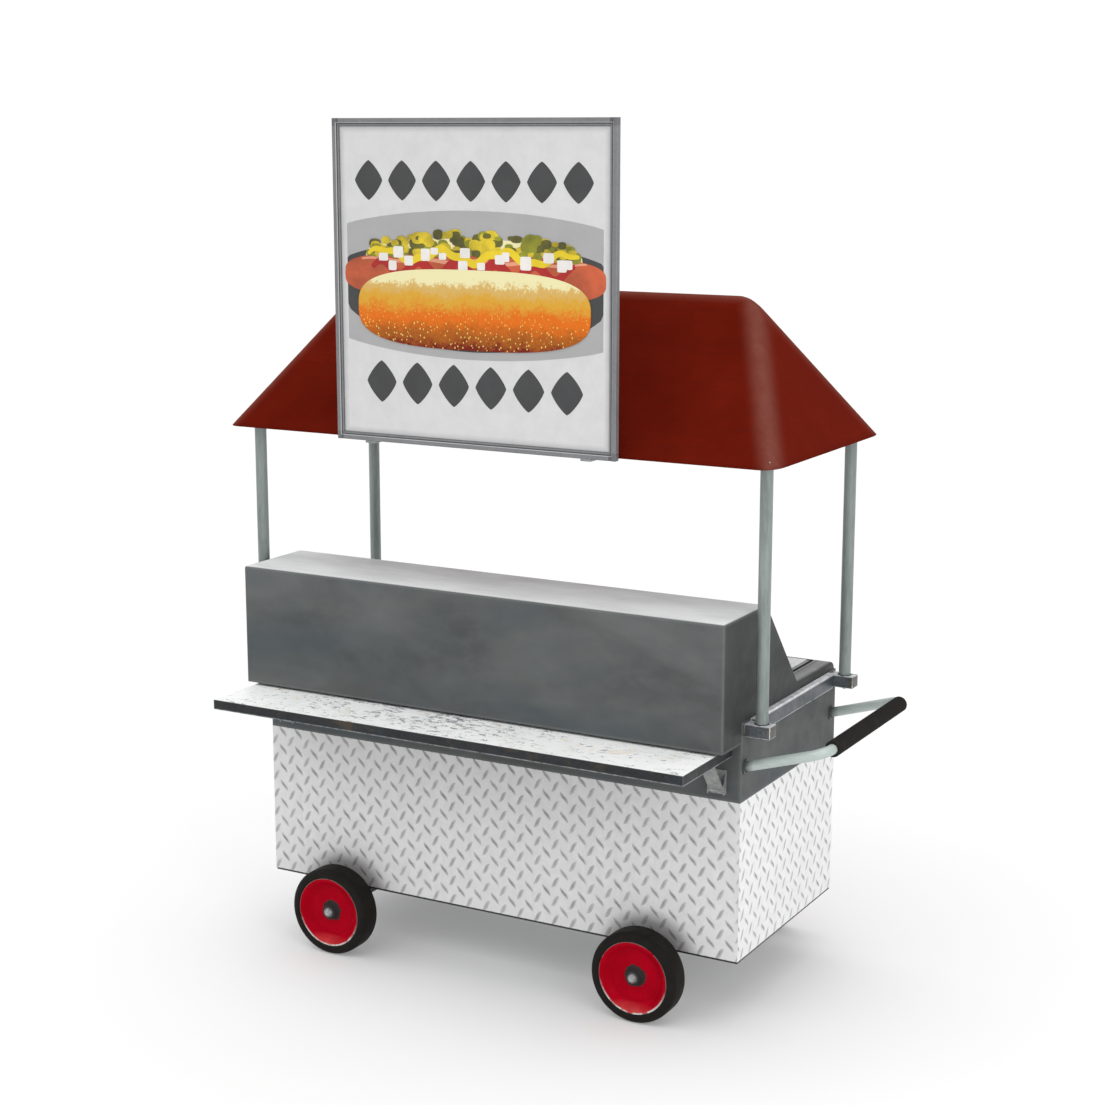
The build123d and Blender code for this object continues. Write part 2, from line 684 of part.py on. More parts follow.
def water_tank():
    """The drop-in tank: a flange on the counter and a welded box below it."""
    wall_x = (WELL_X[0] + 0.5, WELL_X[1] - 0.5)
    wall_y = (WELL_Y[0] + 0.5, WELL_Y[1] - 0.5)
    zs = (TANK_Z0, COUNTER_Z1 + TANK_WALL)
    flange_x = (WELL_X[0] - 14, WELL_X[1] + 14)
    flange_y = (WELL_Y[0] - 8, WELL_Y[1] + 12)
    tank = block(wall_x, wall_y, zs) + block(flange_x, flange_y, (COUNTER_Z1, COUNTER_Z1 + TANK_WALL))
    inner_x = (wall_x[0] + TANK_WALL, wall_x[1] - TANK_WALL)
    inner_y = (wall_y[0] + TANK_WALL, wall_y[1] - TANK_WALL)
    return tank - block(inner_x, inner_y, (TANK_Z0 + TANK_WALL, COUNTER_Z1 + 9))


def pan_centre(index):
    return (WELL_X[0] + WELL_X[1]) / 2 + (index - 1) * PAN_PITCH


def food_pan(index):
    x = pan_centre(index)
    y = (WELL_Y[0] + WELL_Y[1]) / 2
    z = COUNTER_Z1 + TANK_WALL + 0.1
    wide, deep, drop = PAN_SIZE
    edge = block((x - wide / 2, x + wide / 2), (y - deep / 2, y + deep / 2), (z, z + 1.2))
    xs = (x - wide / 2 + 14, x + wide / 2 - 14)
    ys = (y - deep / 2 + 12, y + deep / 2 - 12)
    tub = fillet(block(xs, ys, (z - drop, z + 1.2)).edges().filter_by(Axis.Z), PAN_CORNER)
    room = block((xs[0] + 1.2, xs[1] - 1.2), (ys[0] + 1.2, ys[1] - 1.2), (z - drop + 1.2, z + 9))
    return edge + tub - fillet(room.edges().filter_by(Axis.Z), PAN_CORNER - 1.2)


def lid(index):
    """A raised lid with its two hinge knuckles and its strap handle."""
    x = pan_centre(index)
    half = PAN_SIZE[0] / 2 - 2
    y0 = LID_PIVOT[0] + 6
    y1 = (WELL_Y[0] + WELL_Y[1]) / 2 + PAN_SIZE[1] / 2 + 2
    z = COUNTER_Z1 + TANK_WALL + 2
    plate = block((x - half, x + half), (y0, y1), (z, z + 1.5))
    crown = block((x - half + 16, x + half - 16), (y0 + 16, y1 - 16), (z, z + LID_CROWN))
    crown = fillet(crown.edges().filter_by(Axis.Z), 18)
    room = block((x - half + 18, x + half - 18), (y0 + 18, y1 - 18), (z - 1, z + LID_CROWN - 1.5))
    shell = plate + crown - fillet(room.edges().filter_by(Axis.Z), 16)
    for side in (-1, 1):
        xs = (x + side * 110 - 14, x + side * 110 + 14)
        arm = block(xs, (LID_PIVOT[0], y0 + 4), (z, z + 4))
        knuckle = bar((xs[0], *LID_PIVOT), (xs[1], *LID_PIVOT), 7.5)
        shell += arm + knuckle
    shell -= bar((x - half, *LID_PIVOT), (x + half, *LID_PIVOT), LID_ROD_R + RUN_GAP)
    y = (y0 + y1) / 2
    first, last = y - LID_GRIP_HALF, y + LID_GRIP_HALF
    foot, top = z + LID_CROWN - 1, z + LID_CROWN + 26
    path = FilletPolyline((x, first, foot), (x, first, top), (x, last, top), (x, last, foot), radius=10)
    section = Plane(origin=(x, first, foot), z_dir=(0, 0, 1)) * Circle(4)
    return shell + sweep(section, path=path)


def lid_rod():
    """The rod that the lids turn on and the posts that carry it."""
    first = pan_centre(0) - PAN_SIZE[0] / 2 - 6
    last = pan_centre(2) + PAN_SIZE[0] / 2 + 6
    rod = bar((first, *LID_PIVOT), (last, *LID_PIVOT), LID_ROD_R)
    stops = [first + 3, pan_centre(0.5), pan_centre(1.5), last - 3]
    for x in stops:
        y = LID_PIVOT[0]
        rod += block((x - 1.4, x + 1.4), (y - 5, y + 5), (COUNTER_Z1, LID_PIVOT[1] + 5))
    return rod


def burner():
    """Supply pipe, two burner tubes and two brackets, welded together."""
    y = 330.0
    pipe_z = KNOB_Z
    unit = bar((-80, y, pipe_z), (760, y, pipe_z), 10)
    for low, high in ((-120, 325), (345, 790)):
        mid = (low + high) / 2
        unit += bar((low, 230, pipe_z), (high, 230, pipe_z), 16)
        unit += bar((mid, 230, pipe_z), (mid, y, pipe_z), 9)
    for x in KNOB_X:
        unit += block((x - 14, x + 14), (y - 14, 376), (pipe_z - 14, pipe_z + 14))
    for x in (-70, 750):
        unit += block((x - 12, x + 12), (y - 2, BODY_HALF_Y - SHEET), (pipe_z - 3, pipe_z + 3))
    return unit


def knob(x):
    """A control knob with a flattened grip and its stem."""
    z = KNOB_Z
    start = BODY_HALF_Y + 1.2
    body = bar((x, start, z), (x, start + 9, z), KNOB_R)
    body = fillet(circles_of(body, KNOB_R), 1.5)
    grip = block((x - 5, x + 5), (start + 8, start + 24), (z - KNOB_R + 2, z + KNOB_R - 2))
    grip = fillet(grip.edges().filter_by(Axis.Y), 4.5)
    return body + grip + bar((x, 377, z), (x, start + 1, z), STEM_R)


def build_counter():
    save("counter_top", counter())
    save("water_tank", water_tank())
    save("food_pans", *[food_pan(index) for index in range(3)])
    for index, name in enumerate(("left", "middle", "right")):
        save("pan_lid_" + name, lid(index))
    save("pan_lid_rod", lid_rod())
    save("gas_burner", burner())
    save("burner_knob_left", knob(KNOB_X[0]))
    save("burner_knob_right", knob(KNOB_X[1]))


# ---------------------------------------------------------- serving shelf


def shelf_panel():
    """A folded tray, open below, with two stiffeners and moving knuckles."""
    half = SHELF_HALF_X
    tray = block((-half, half), SHELF_Y, SHELF_Z)
    top_edges = [edge for edge in tray.edges() if edge.bounding_box().min.Z > SHELF_Z[1] - 0.01]
    tray = fillet(top_edges, 3)
    inner_y = (SHELF_Y[0] + SHEET, SHELF_Y[1] - SHEET)
    tray -= block((-half + SHEET, half - SHEET), inner_y, (SHELF_Z[0] - 1, SHELF_Z[1] - SHEET))
    for x in (-430, 0, 430):
        tray += block((x - 20, x + 20), (inner_y[0] - 1, inner_y[1] + 1), (SHELF_Z[1] - 16, SHELF_Z[1] - 1))
    y, z = SHELF_PIVOT
    for x in SHELF_HINGE_X:
        tray += bar((x - 20, y, z), (x + 20, y, z), HINGE_R)
        tray += block((x - 20, x + 20), (SHELF_Y[1] - 1, y), (z - HINGE_R, z))
        tray -= bar((x - 21, y, z), (x + 21, y, z), PIN_R + RUN_GAP)
    return tray


def shelf_hinge(x):
    """Fixed leaf with two knuckles and the pin between them, on the wall."""
    y, z = SHELF_PIVOT
    leaf = block((x - 46, x + 46), (-BODY_HALF_Y - 1.6, -BODY_HALF_Y), (z, z + 26))
    for side in (-1, 1):
        xs = (x + side * 20.5, x + side * 46)
        leaf += bar((xs[0], y, z), (xs[1], y, z), HINGE_R)
        leaf += block(xs, (y, -BODY_HALF_Y - 1), (z, z + HINGE_R))
    return leaf + bar((x - 46, y, z), (x + 46, y, z), PIN_R)


def prop(side):
    """A flat stay with an eye at its foot, leaning out under the shelf."""
    xs = (side * (PROP_X - PROP_W / 2), side * (PROP_X + PROP_W / 2))
    y, z = PROP_PIVOT
    flat = block(xs, (-PROP_T / 2, PROP_T / 2), (0, PROP_LENGTH))
    tip = bar((xs[0], 0, PROP_LENGTH), (xs[1], 0, PROP_LENGTH), PROP_T / 2)
    eye = bar((xs[0], 0, 0), (xs[1], 0, 0), 8)
    stay = flat + tip + eye - bar((xs[0] - side, 0, 0), (xs[1] + side, 0, 0), PROP_PIN_R + RUN_GAP)
    return Pos(0, y, z) * Rot(PROP_LEAN, 0, 0) * stay


def prop_bracket(side):
    """A pocket plate on the wall, with two cheeks, a low lip and its pin."""
    inner = PROP_W / 2 + 0.5
    y, z = PROP_PIVOT
    zs = (z - 13, z + 63)
    wall_y = -BODY_HALF_Y
    xs = (side * (PROP_X - inner - 3), side * (PROP_X + inner + 3))
    plate = block(xs, (wall_y - 2, wall_y), zs)
    plate += block(xs, (wall_y - 8, wall_y), (zs[0], zs[0] + 3))
    for edge in (-1, 1):
        x0 = side * PROP_X + edge * inner
        front_y = wall_y - PROP_CHEEK_DEPTH
        cheek = [(x0, wall_y, zs[0]), (x0, front_y, zs[0]), (x0, front_y, z + 14), (x0, wall_y, zs[1])]
        plate += prism(cheek, (edge * 3, 0, 0))
    pin = bar((xs[0], y, z), (xs[1], y, z), PROP_PIN_R)
    return plate + pin


def build_shelf():
    save("shelf_panel", shelf_panel())
    save("shelf_hinges", *[shelf_hinge(x) for x in SHELF_HINGE_X])
    save("shelf_prop_left", prop(-1))
    save("shelf_prop_right", prop(1))
    save("shelf_prop_brackets", prop_bracket(-1), prop_bracket(1))


# ------------------------------------------------------------ push handle


def handle_tube():
    x, z = HANDLE_BAR
    root = (BODY_HALF_X, -HANDLE_Y, HANDLE_ROOT_Z)
    points = [root, (x, -HANDLE_Y, z), (x, HANDLE_Y, z), (BODY_HALF_X, HANDLE_Y, HANDLE_ROOT_Z)]
    path = FilletPolyline(*points, radius=HANDLE_BEND)
    start = Plane(origin=root, z_dir=Vector(*points[1]) - Vector(*root))
    tube = sweep(start * Circle(HANDLE_R), path=path)
    tube -= sweep(start * Circle(HANDLE_R - HANDLE_WALL), path=path)
    return tube - block((BODY_HALF_X - 20, BODY_HALF_X), (-500, 500), (700, 1000))


def handle_flange(side):
    y = side * HANDLE_Y
    start = (BODY_HALF_X, y, HANDLE_ROOT_Z)
    ring = bar(start, (BODY_HALF_X + 5, y, HANDLE_ROOT_Z), 24)
    return ring - bar((BODY_HALF_X - 1, y, HANDLE_ROOT_Z), (BODY_HALF_X + 9, y, HANDLE_ROOT_Z), HANDLE_R + 2)


def build_handle():
    x, z = HANDLE_BAR
    save("handle_tube", handle_tube(), handle_flange(-1), handle_flange(1))
    sleeve = bar((x, -GRIP_HALF, z), (x, GRIP_HALF, z), GRIP_R)
    sleeve = fillet(circles_of(sleeve, GRIP_R), 3)
    save("handle_grip", sleeve - bar((x, -GRIP_HALF - 1, z), (x, GRIP_HALF + 1, z), HANDLE_R + 0.02))


os.makedirs("parts", exist_ok=True)
build_chassis()
build_wheels()
build_panels()
build_doors()
build_posts()
build_roof()
build_sign()
build_housing()
build_counter()
build_shelf()
build_handle()
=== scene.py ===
import math
import random

import bmesh
import bpy
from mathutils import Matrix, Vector


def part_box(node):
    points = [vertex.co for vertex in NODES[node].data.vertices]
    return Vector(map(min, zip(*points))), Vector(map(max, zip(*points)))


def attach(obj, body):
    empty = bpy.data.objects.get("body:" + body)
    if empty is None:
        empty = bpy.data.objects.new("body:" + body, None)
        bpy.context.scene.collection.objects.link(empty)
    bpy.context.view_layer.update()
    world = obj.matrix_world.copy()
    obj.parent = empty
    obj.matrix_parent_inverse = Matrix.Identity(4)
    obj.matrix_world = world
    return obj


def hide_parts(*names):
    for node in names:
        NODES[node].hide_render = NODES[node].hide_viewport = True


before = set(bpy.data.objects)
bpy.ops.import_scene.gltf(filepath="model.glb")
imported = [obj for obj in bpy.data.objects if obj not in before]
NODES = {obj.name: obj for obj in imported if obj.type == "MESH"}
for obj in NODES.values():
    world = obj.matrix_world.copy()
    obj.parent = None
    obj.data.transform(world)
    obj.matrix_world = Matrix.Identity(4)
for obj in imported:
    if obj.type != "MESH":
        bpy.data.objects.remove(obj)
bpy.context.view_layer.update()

MM = 0.001
rng = random.Random(7)


def centre_of(node):
    low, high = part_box(node)
    return (low + high) / 2


FRONT_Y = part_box("tread_panel_front")[0].y
BODY_X = centre_of("tread_panel_front").x
WEB_R = 84 * MM
LIP_R = 121.9 * MM
EDGE_WEAR_AND_HIGHLIGHT = 10 * MM
BRACKET_LENGTH = 88 * MM
BRACKET_BREADTH = 50 * MM
SIGN_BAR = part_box("sign_frame")[0].x + 24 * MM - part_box("sign_panel")[0].x
WHEELS = [(centre_of("tyre_front_" + s).x, centre_of("tyre_front_" + s).z) for s in ("left", "right")]
TYRE_R = (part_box("tyre_front_left")[1].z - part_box("tyre_front_left")[0].z) / 2


def grey(tone):
    return (tone, tone, tone)


# ------------------------------------------------------------ finishes


class Finish:
    """A node material whose patterns lie in the piece's own frame, in metres."""

    def __init__(self, name, colour, roughness=0.5, metallic=0.0, specular=None):
        self.material = bpy.data.materials.new(name)
        self.material.use_nodes = True
        tree = self.material.node_tree
        self.nodes = tree.nodes
        self.links = tree.links
        self.nodes.clear()
        output = self.nodes.new("ShaderNodeOutputMaterial")
        self.shader = self.nodes.new("ShaderNodeBsdfPrincipled")
        self.links.new(self.shader.outputs["BSDF"], output.inputs["Surface"])
        self.shader.inputs["Base Color"].default_value = (*colour, 1)
        self.shader.inputs["Roughness"].default_value = roughness
        self.shader.inputs["Metallic"].default_value = metallic
        if specular is not None:
            self.shader.inputs["Specular IOR Level"].default_value = specular
        place = self.nodes.new("ShaderNodeTexCoord")
        self.place = place.outputs["Object"]
        self.facing = place.outputs["Normal"]
        self.normal = None

    def feed(self, target, value):
        if isinstance(value, bpy.types.NodeSocket):
            self.links.new(value, target)
        elif isinstance(value, tuple) and len(value) == 3 and target.type == "RGBA":
            target.default_value = (*value, 1)
        else:
            target.default_value = value

    def put(self, socket, source):
        self.links.new(source, self.shader.inputs[socket])

    def calc(self, operation, a, b=0.0, c=0.0):
        made = self.nodes.new("ShaderNodeMath")
        made.operation = operation
        for target, value in zip(made.inputs, (a, b, c)):
            self.feed(target, value)
        return made.outputs[0]

    def times(self, a, b):
        return self.calc("MULTIPLY", a, b)

    def plus(self, a, b):
        return self.calc("ADD", a, b)

    def minus(self, a, b):
        return self.calc("SUBTRACT", a, b)

    def least(self, a, b):
        return self.calc("MINIMUM", a, b)

    def most(self, a, b):
        return self.calc("MAXIMUM", a, b)

    def size(self, a):
        return self.calc("ABSOLUTE", a)

    def off(self, value, place):
        """How far a value is from a place, on either side."""
        return self.size(self.minus(value, place))

    def inside(self, value, low, high):
        """How far a value is inside the nearer of two ends."""
        return self.least(self.minus(value, low), self.minus(high, value))

    def mix(self, factor, a, b):
        made = self.nodes.new("ShaderNodeMix")
        made.data_type = "RGBA"
        self.feed(made.inputs[0], factor)
        self.feed(made.inputs[6], a)
        self.feed(made.inputs[7], b)
        return made.outputs[2]

    def level(self, value, low, high, bottom=0.0, top=1.0):
        made = self.nodes.new("ShaderNodeMapRange")
        for target, source in zip(made.inputs, (value, low, high, bottom, top)):
            self.feed(target, source)
        return made.outputs[0]

    def stretched(self, stretch):
        made = self.nodes.new("ShaderNodeMapping")
        made.inputs["Scale"].default_value = stretch
        self.links.new(self.place, made.inputs["Vector"])
        return made.outputs[0]

    def noise(self, scale, detail=3.0, rough=0.55, stretch=None, distortion=0.0):
        made = self.nodes.new("ShaderNodeTexNoise")
        self.links.new(self.stretched(stretch) if stretch else self.place, made.inputs["Vector"])
        made.inputs["Scale"].default_value = scale
        made.inputs["Detail"].default_value = detail
        made.inputs["Roughness"].default_value = rough
        made.inputs["Distortion"].default_value = distortion
        return made.outputs[0]

    def upward(self, *levels):
        """A level of how far a face looks up."""
        return self.level(self.parts(self.facing)[2], *levels)

    def endward(self, *levels):
        """A level of how far a face looks to either end of the cart."""
        return self.level(self.size(self.parts(self.facing)[0]), *levels)

    def cloud(self, noise, low, high, bottom=0.0, top=1.0):
        """Noise, given as the arguments of noise(), spread between two levels."""
        return self.level(self.noise(*noise), low, high, bottom, top)

    def cells(self, scale, stretch=None):
        made = self.nodes.new("ShaderNodeTexVoronoi")
        self.links.new(self.stretched(stretch) if stretch else self.place, made.inputs["Vector"])
        made.inputs["Scale"].default_value = scale
        return made.outputs["Distance"]

    def parts(self, vector=None):
        made = self.nodes.new("ShaderNodeSeparateXYZ")
        self.links.new(vector or self.place, made.inputs[0])
        return made.outputs

    def attribute(self, name):
        made = self.nodes.new("ShaderNodeAttribute")
        made.attribute_name = name
        return made.outputs["Fac"]

    def bump(self, height, strength, distance):
        made = self.nodes.new("ShaderNodeBump")
        made.inputs["Strength"].default_value = strength
        made.inputs["Distance"].default_value = distance
        self.links.new(height, made.inputs["Height"])
        if self.normal:
            self.links.new(self.normal, made.inputs["Normal"])
        self.normal = made.outputs[0]
        self.put("Normal", self.normal)

    def coat(self, colour):
        self.put("Base Color", colour)

    def rough(self, noise, low, high):
        self.put("Roughness", self.cloud(noise, 0.3, 0.7, low, high))

    def grain(self, noise, strength, distance):
        self.bump(self.noise(*noise), strength, distance)

    def near_edge(self, low, high, width):
        """1 on the edges of the box low to high, 0 further than width from them."""
        gaps = []
        for socket, a, b in zip(self.parts(), low, high):
            gaps.append(self.inside(socket, a, b))
        least = self.least(gaps[0], gaps[1])
        most = self.most(gaps[0], gaps[1])
        second = self.most(least, self.least(most, gaps[2]))
        return self.level(second, width * 0.35, width, 1.0, 0.0)


def blotched(made, base, dark, light, scale, streaks=None):
    """A mottled colour: broad blotches of dark and light over base, broken by finer ones."""
    broad = made.cloud((scale, 4, 0.6, streaks), 0.36, 0.66)
    fine = made.cloud((scale * 5.3, 5, 0.65, streaks), 0.35, 0.7)
    colour = made.mix(broad, dark, base)
    return made.mix(made.times(fine, 0.45), colour, light)


def galvanised(name, base, dark, light, streaks=(1, 1, 1), metallic=0.55):
    made = Finish(name, base, 0.42, metallic)
    made.coat(blotched(made, base, dark, light, 9, streaks))
    made.rough((22, 4, 0.6, streaks), 0.33, 0.56)
    made.grain((260, 3, 0.6, streaks), 0.12, 0.0006)
    return made.material


def weathered(name, low, high, end_tone=1.0):
    """Old dark sheet steel: clouded, with softly rubbed edges also lightened as a painted edge highlight, a
    top painted light and, by end_tone, ends darkened with painted shade.
    """
    made = Finish(name, (0.10, 0.107, 0.107), 0.55, 0.0, specular=0.2)
    broad = made.cloud((2.6, 4, 0.55, (0.7, 1, 1.6), 0.4), 0.34, 0.66)
    colour = made.mix(broad, (0.068, 0.073, 0.073), (0.119, 0.127, 0.126))
    fine = made.cloud((17, 5, 0.6, (0.8, 1, 1.2)), 0.42, 0.72, 0, 0.30)
    colour = made.mix(fine, colour, (0.135, 0.143, 0.141))
    blue = made.cloud((2.2, 3, 0.5, (0.8, 1, 1.6), 0.6), 0.48, 0.68, 0, 0.65)
    colour = made.mix(blue, colour, (0.068, 0.083, 0.092))
    brown = made.cloud((3.1, 3, 0.5, (0.9, 1, 1.3), 0.5), 0.56, 0.72, 0, 0.45)
    colour = made.mix(brown, colour, (0.088, 0.084, 0.076))
    # Painted shade: faces that look to the cart's ends are mixed towards near-black, by 1 - end_tone.
    if end_tone < 1:
        end_shade = made.endward(0.7, 0.95, 0.0, 1.0 - end_tone)
        colour = made.mix(end_shade, colour, (0.012, 0.013, 0.013))
    # Painted light: faces that look up are mixed towards a clouded near-white.
    upward = made.upward(0.80, 0.96)
    cloudy = made.noise(5, 5, 0.6, (0.7, 1.8, 1))
    top = made.mix(made.level(cloudy, 0.34, 0.66), (0.72, 0.74, 0.74), (0.88, 0.90, 0.90))
    colour = made.mix(upward, colour, top)
    # The edges are lightened both as rubbed wear and as a painted edge highlight.
    rubbed_and_highlit = made.times(made.near_edge(low, high, EDGE_WEAR_AND_HIGHLIGHT), made.cloud((20, 4, 0.7), 0.25, 0.65, 0.45, 1.0))
    colour = made.mix(made.times(rubbed_and_highlit, 0.46), colour, (0.165, 0.175, 0.174))
    made.coat(colour)
    made.rough((13, 4, 0.6), 0.46, 0.64)
    made.grain((180, 3, 0.6), 0.10, 0.0005)
    made.grain((5, 2, 0.5), 0.25, 0.004)
    return made.material


def brushed_steel(name, tone, stretch=(1, 40, 1), roughness=0.3, metallic=0.85):
    made = Finish(name, grey(tone), roughness, metallic)
    grain = made.noise(30, 4, 0.6, stretch)
    colour = made.mix(made.level(grain, 0.3, 0.7), grey(tone * 0.82), (tone * 1.08, tone * 1.09, tone * 1.09))
    smudge = made.cloud((7, 4, 0.6), 0.5, 0.75, 0, 0.5)
    made.coat(made.mix(smudge, colour, (tone * 0.66, tone * 0.67, tone * 0.66)))
    made.rough((12, 4, 0.6), roughness - 0.08, roughness + 0.12)
    made.bump(grain, 0.08, 0.0004)
    return made.material


def handle_finish():
    """Galvanised tube, darkened with painted shade where it meets the cart's end."""
    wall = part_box("tread_panel_right_end")[1].x
    made = Finish("handle_galvanised", (0.33, 0.38, 0.36), 0.42, 0.15)
    tones = (0.480, 0.548, 0.529), (0.410, 0.471, 0.453), (0.560, 0.628, 0.609)
    colour = blotched(made, *tones, 9, (0.5, 2, 2))
    # Painted shade: darker near the wall where the tube meets the cart's end.
    grime = made.level(made.parts()[0], wall + 0.004, wall + 0.034, 0.92, 0.0)
    made.coat(made.mix(grime, colour, (0.030, 0.034, 0.033)))
    made.rough((22, 4, 0.6), 0.34, 0.54)
    made.grain((260, 3, 0.6), 0.12, 0.0006)
    return made.material


def cap_finish():
    """Turned steel dome with a painted highlight on its crown, on a washer dark with grease and chipped
    paint.
    """
    made = Finish("cap_steel", grey(0.25), 0.30, 0.55)
    away = wheel_distance(made, WHEELS)
    colour = made.mix(made.cloud((60, 3, 0.6), 0.3, 0.7), (0.17, 0.175, 0.175), (0.30, 0.31, 0.31))
    # Painted highlight: the crown of the dome is lighter.
    crown = made.level(away, 0.003, 0.012, 0.7, 0.0)
    colour = made.mix(crown, colour, (0.52, 0.53, 0.53))
    greasy = made.level(away, 0.0160, 0.0180)
    made.coat(made.mix(greasy, colour, (0.030, 0.029, 0.028)))
    made.put("Roughness", made.level(greasy, 0.0, 1.0, 0.26, 0.65))
    made.grain((240, 3, 0.6), 0.10, 0.0004)
    return made.material


def counter_finish():
    """Brushed worktop with dark grooves beside the well, and painted shade along its outer edge and on faces
    that look back.
    """
    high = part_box("counter_top")[1]
    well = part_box("water_tank")[1].x
    made = Finish("counter_steel", grey(0.2), 0.45, 0.0, specular=0.3)
    x = made.parts()[0]
    grain = made.noise(30, 4, 0.6, (14, 0.35, 1))
    colour = made.mix(made.level(grain, 0.3, 0.7), (0.176, 0.180, 0.176), (0.350, 0.356, 0.350))
    smudge = made.cloud((7, 4, 0.6), 0.5, 0.75, 0, 0.5)
    colour = made.mix(smudge, colour, (0.11, 0.112, 0.11))
    for place, width, depth in ((well + 0.020, 0.0032, 0.9), (well + 0.031, 0.0018, 0.5)):
        gap = made.off(x, place)
        colour = made.mix(made.level(gap, width * 0.6, width, depth, 0.0), colour, (0.022, 0.023, 0.023))
    # Painted shade: the outer edge is darkened nearly to black.
    outer = made.level(x, high.x - 0.016, high.x - 0.002, 0.0, 0.92)
    colour = made.mix(outer, colour, (0.020, 0.021, 0.021))
    # Painted shade: faces that look back are darkened.
    back_shade = made.level(made.parts(made.facing)[1], 0.35, 0.9, 0.0, 0.55)
    colour = made.mix(back_shade, colour, (0.05, 0.052, 0.052))
    made.coat(colour)
    made.rough((12, 4, 0.6), 0.36, 0.56)
    made.bump(grain, 0.08, 0.0004)
    return made.material


def frame_finish():
    """Dull aluminium extrusion, darker at its corners, with painted shade in its groove and a painted
    highlight along its inner bevel.
    """
    low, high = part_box("sign_frame")
    made = Finish("sign_aluminium", grey(0.2), 0.42, 0.1)
    x, _, z = made.parts()
    colour = blotched(made, (0.195, 0.197, 0.203), (0.165, 0.167, 0.174), (0.235, 0.237, 0.243), 14)
    gap_x = made.inside(x, low.x, high.x)
    gap_z = made.inside(z, low.z, high.z)
    corner = made.level(made.most(gap_x, gap_z), 0.022, 0.027, 0.45, 0.0)
    colour = made.mix(corner, colour, (0.075, 0.070, 0.090))
    inward = made.least(gap_x, gap_z)
    # Painted shade: a dark line in the groove.
    groove = made.level(made.off(inward, 0.0172), 0.0010, 0.0022, 0.85, 0.0)
    colour = made.mix(groove, colour, (0.050, 0.051, 0.056))
    # Painted highlight: a light line along the inner bevel.
    bevel_highlight = made.level(made.off(inward, 0.0145), 0.0006, 0.0014, 0.80, 0.0)
    colour = made.mix(bevel_highlight, colour, (0.50, 0.505, 0.51))
    made.coat(colour)
    made.grain((200, 3, 0.6), 0.08, 0.0004)
    return made.material


def wheel_distance(made, centres):
    """Distance in the xz plane from the nearest of some wheel axes."""
    x, _, z = made.parts()
    found = None
    for cx, cz in centres:
        dx = made.minus(x, cx)
        dz = made.minus(z, cz)
        away = made.calc("SQRT", made.plus(made.times(dx, dx), made.times(dz, dz)))
        found = away if found is None else made.least(found, away)
    return found


def wheel_soot_and_shade(made):
    """How dark the front sheet is as soot and painted shade from the tyres: most beside the wheels, nothing
    further off or on the other sheets.
    """
    # Soot and painted shade from the tyres, darkest close beside them.
    near_wheel_dark = made.level(wheel_distance(made, WHEELS), TYRE_R * 0.98, TYRE_R * 1.30, 0.72, 0.0)
    front = made.level(made.parts()[1], FRONT_Y + 0.001, FRONT_Y + 0.003, 1.0, 0.0)
    return made.times(made.times(near_wheel_dark, front), made.cloud((14,), 0.2, 0.8, 0.75, 1.1))


def tread_finish(name, tone):
    """Bright, nearly white chequer plate, sooty and darkened with painted shade round the wheels, and with
    faint upright runs.
    """
    made = Finish(name, grey(tone), 0.50, 0.0, specular=0.3)
    light = grey(tone * 1.07)
    colour = blotched(made, grey(tone), grey(tone * 0.92), light, 26)
    runs = made.cloud((16, 3, 0.6, (3, 3, 0.22)), 0.58, 0.8, 0, 0.4)
    colour = made.mix(runs, colour, grey(tone * 0.80))
    made.coat(made.mix(wheel_soot_and_shade(made), colour, grey(0.13)))
    made.rough((40, 3), 0.42, 0.58)
    made.grain((320, 3), 0.10, 0.0004)
    return made.material


def lug_finish(name, tone, dark):
    """The raised lugs: the same metal, painted darker along each lug's middle as painted shade, and sooty
    with painted shade round the wheels.
    """
    made = Finish(name, grey(0.5), 0.48, 0.0, specular=0.3)
    colour = made.mix(made.attribute("shade"), grey(tone * 1.04), (dark,) * 3)
    worn = made.cloud((150, 3, 0.7), 0.4, 0.7, 0, 0.30)
    colour = made.mix(worn, colour, grey(tone * 0.86))
    made.coat(made.mix(wheel_soot_and_shade(made), colour, grey(0.10)))
    made.grain((320, 3), 0.10, 0.0004)
    return made.material


def canopy_finish():
    """Dark brick-red canvas: crossed threads, slubs and specks, the end slopes lighter as painted light, and
    faded and lightened as a painted sheen over the hips and ridge.
    """
    made = Finish("canopy_canvas", (0.12, 0.010, 0.005), 0.95, 0.0, specular=0.01)
    deep = (0.098, 0.0058, 0.0020)
    warm = (0.138, 0.0092, 0.0034)
    cloud = made.cloud((5, 4, 0.6), 0.3, 0.72)
    colour = made.mix(cloud, deep, warm)
    slub = made.cloud((60, 3, 0.6, (0.12, 1, 2.2)), 0.42, 0.72, 0, 0.55)
    colour = made.mix(slub, colour, (0.092, 0.0074, 0.0036))
    speck = made.cloud((210, 2, 0.6), 0.66, 0.74, 0, 0.5)
    colour = made.mix(speck, colour, (0.045, 0.006, 0.004))
    # Painted light: the slopes that look to the cart's ends are lighter.
    ends = made.endward(0.35, 0.65, 0.0, 0.45)
    colour = made.mix(ends, colour, (0.165, 0.0150, 0.0078))
    # Over the hips and ridge the cloth is faded and lightened, partly as a painted sheen.
    fade_and_sheen = made.times(made.attribute("roll"), made.cloud((30, 4, 0.6, (1, 1, 0.4)), 0.2, 0.7, 0.6, 1.0))
    made.coat(made.mix(fade_and_sheen, colour, (0.190, 0.060, 0.045)))
    x, _, z = made.parts()
    warp = made.calc("SINE", made.times(x, 2200.0))
    weft = made.calc("SINE", made.times(z, 2600.0))
    made.bump(made.times(warp, weft), 0.25, 0.0004)
    made.grain((70, 3, 0.6, (0.2, 1, 2)), 0.15, 0.0008)
    return made.material


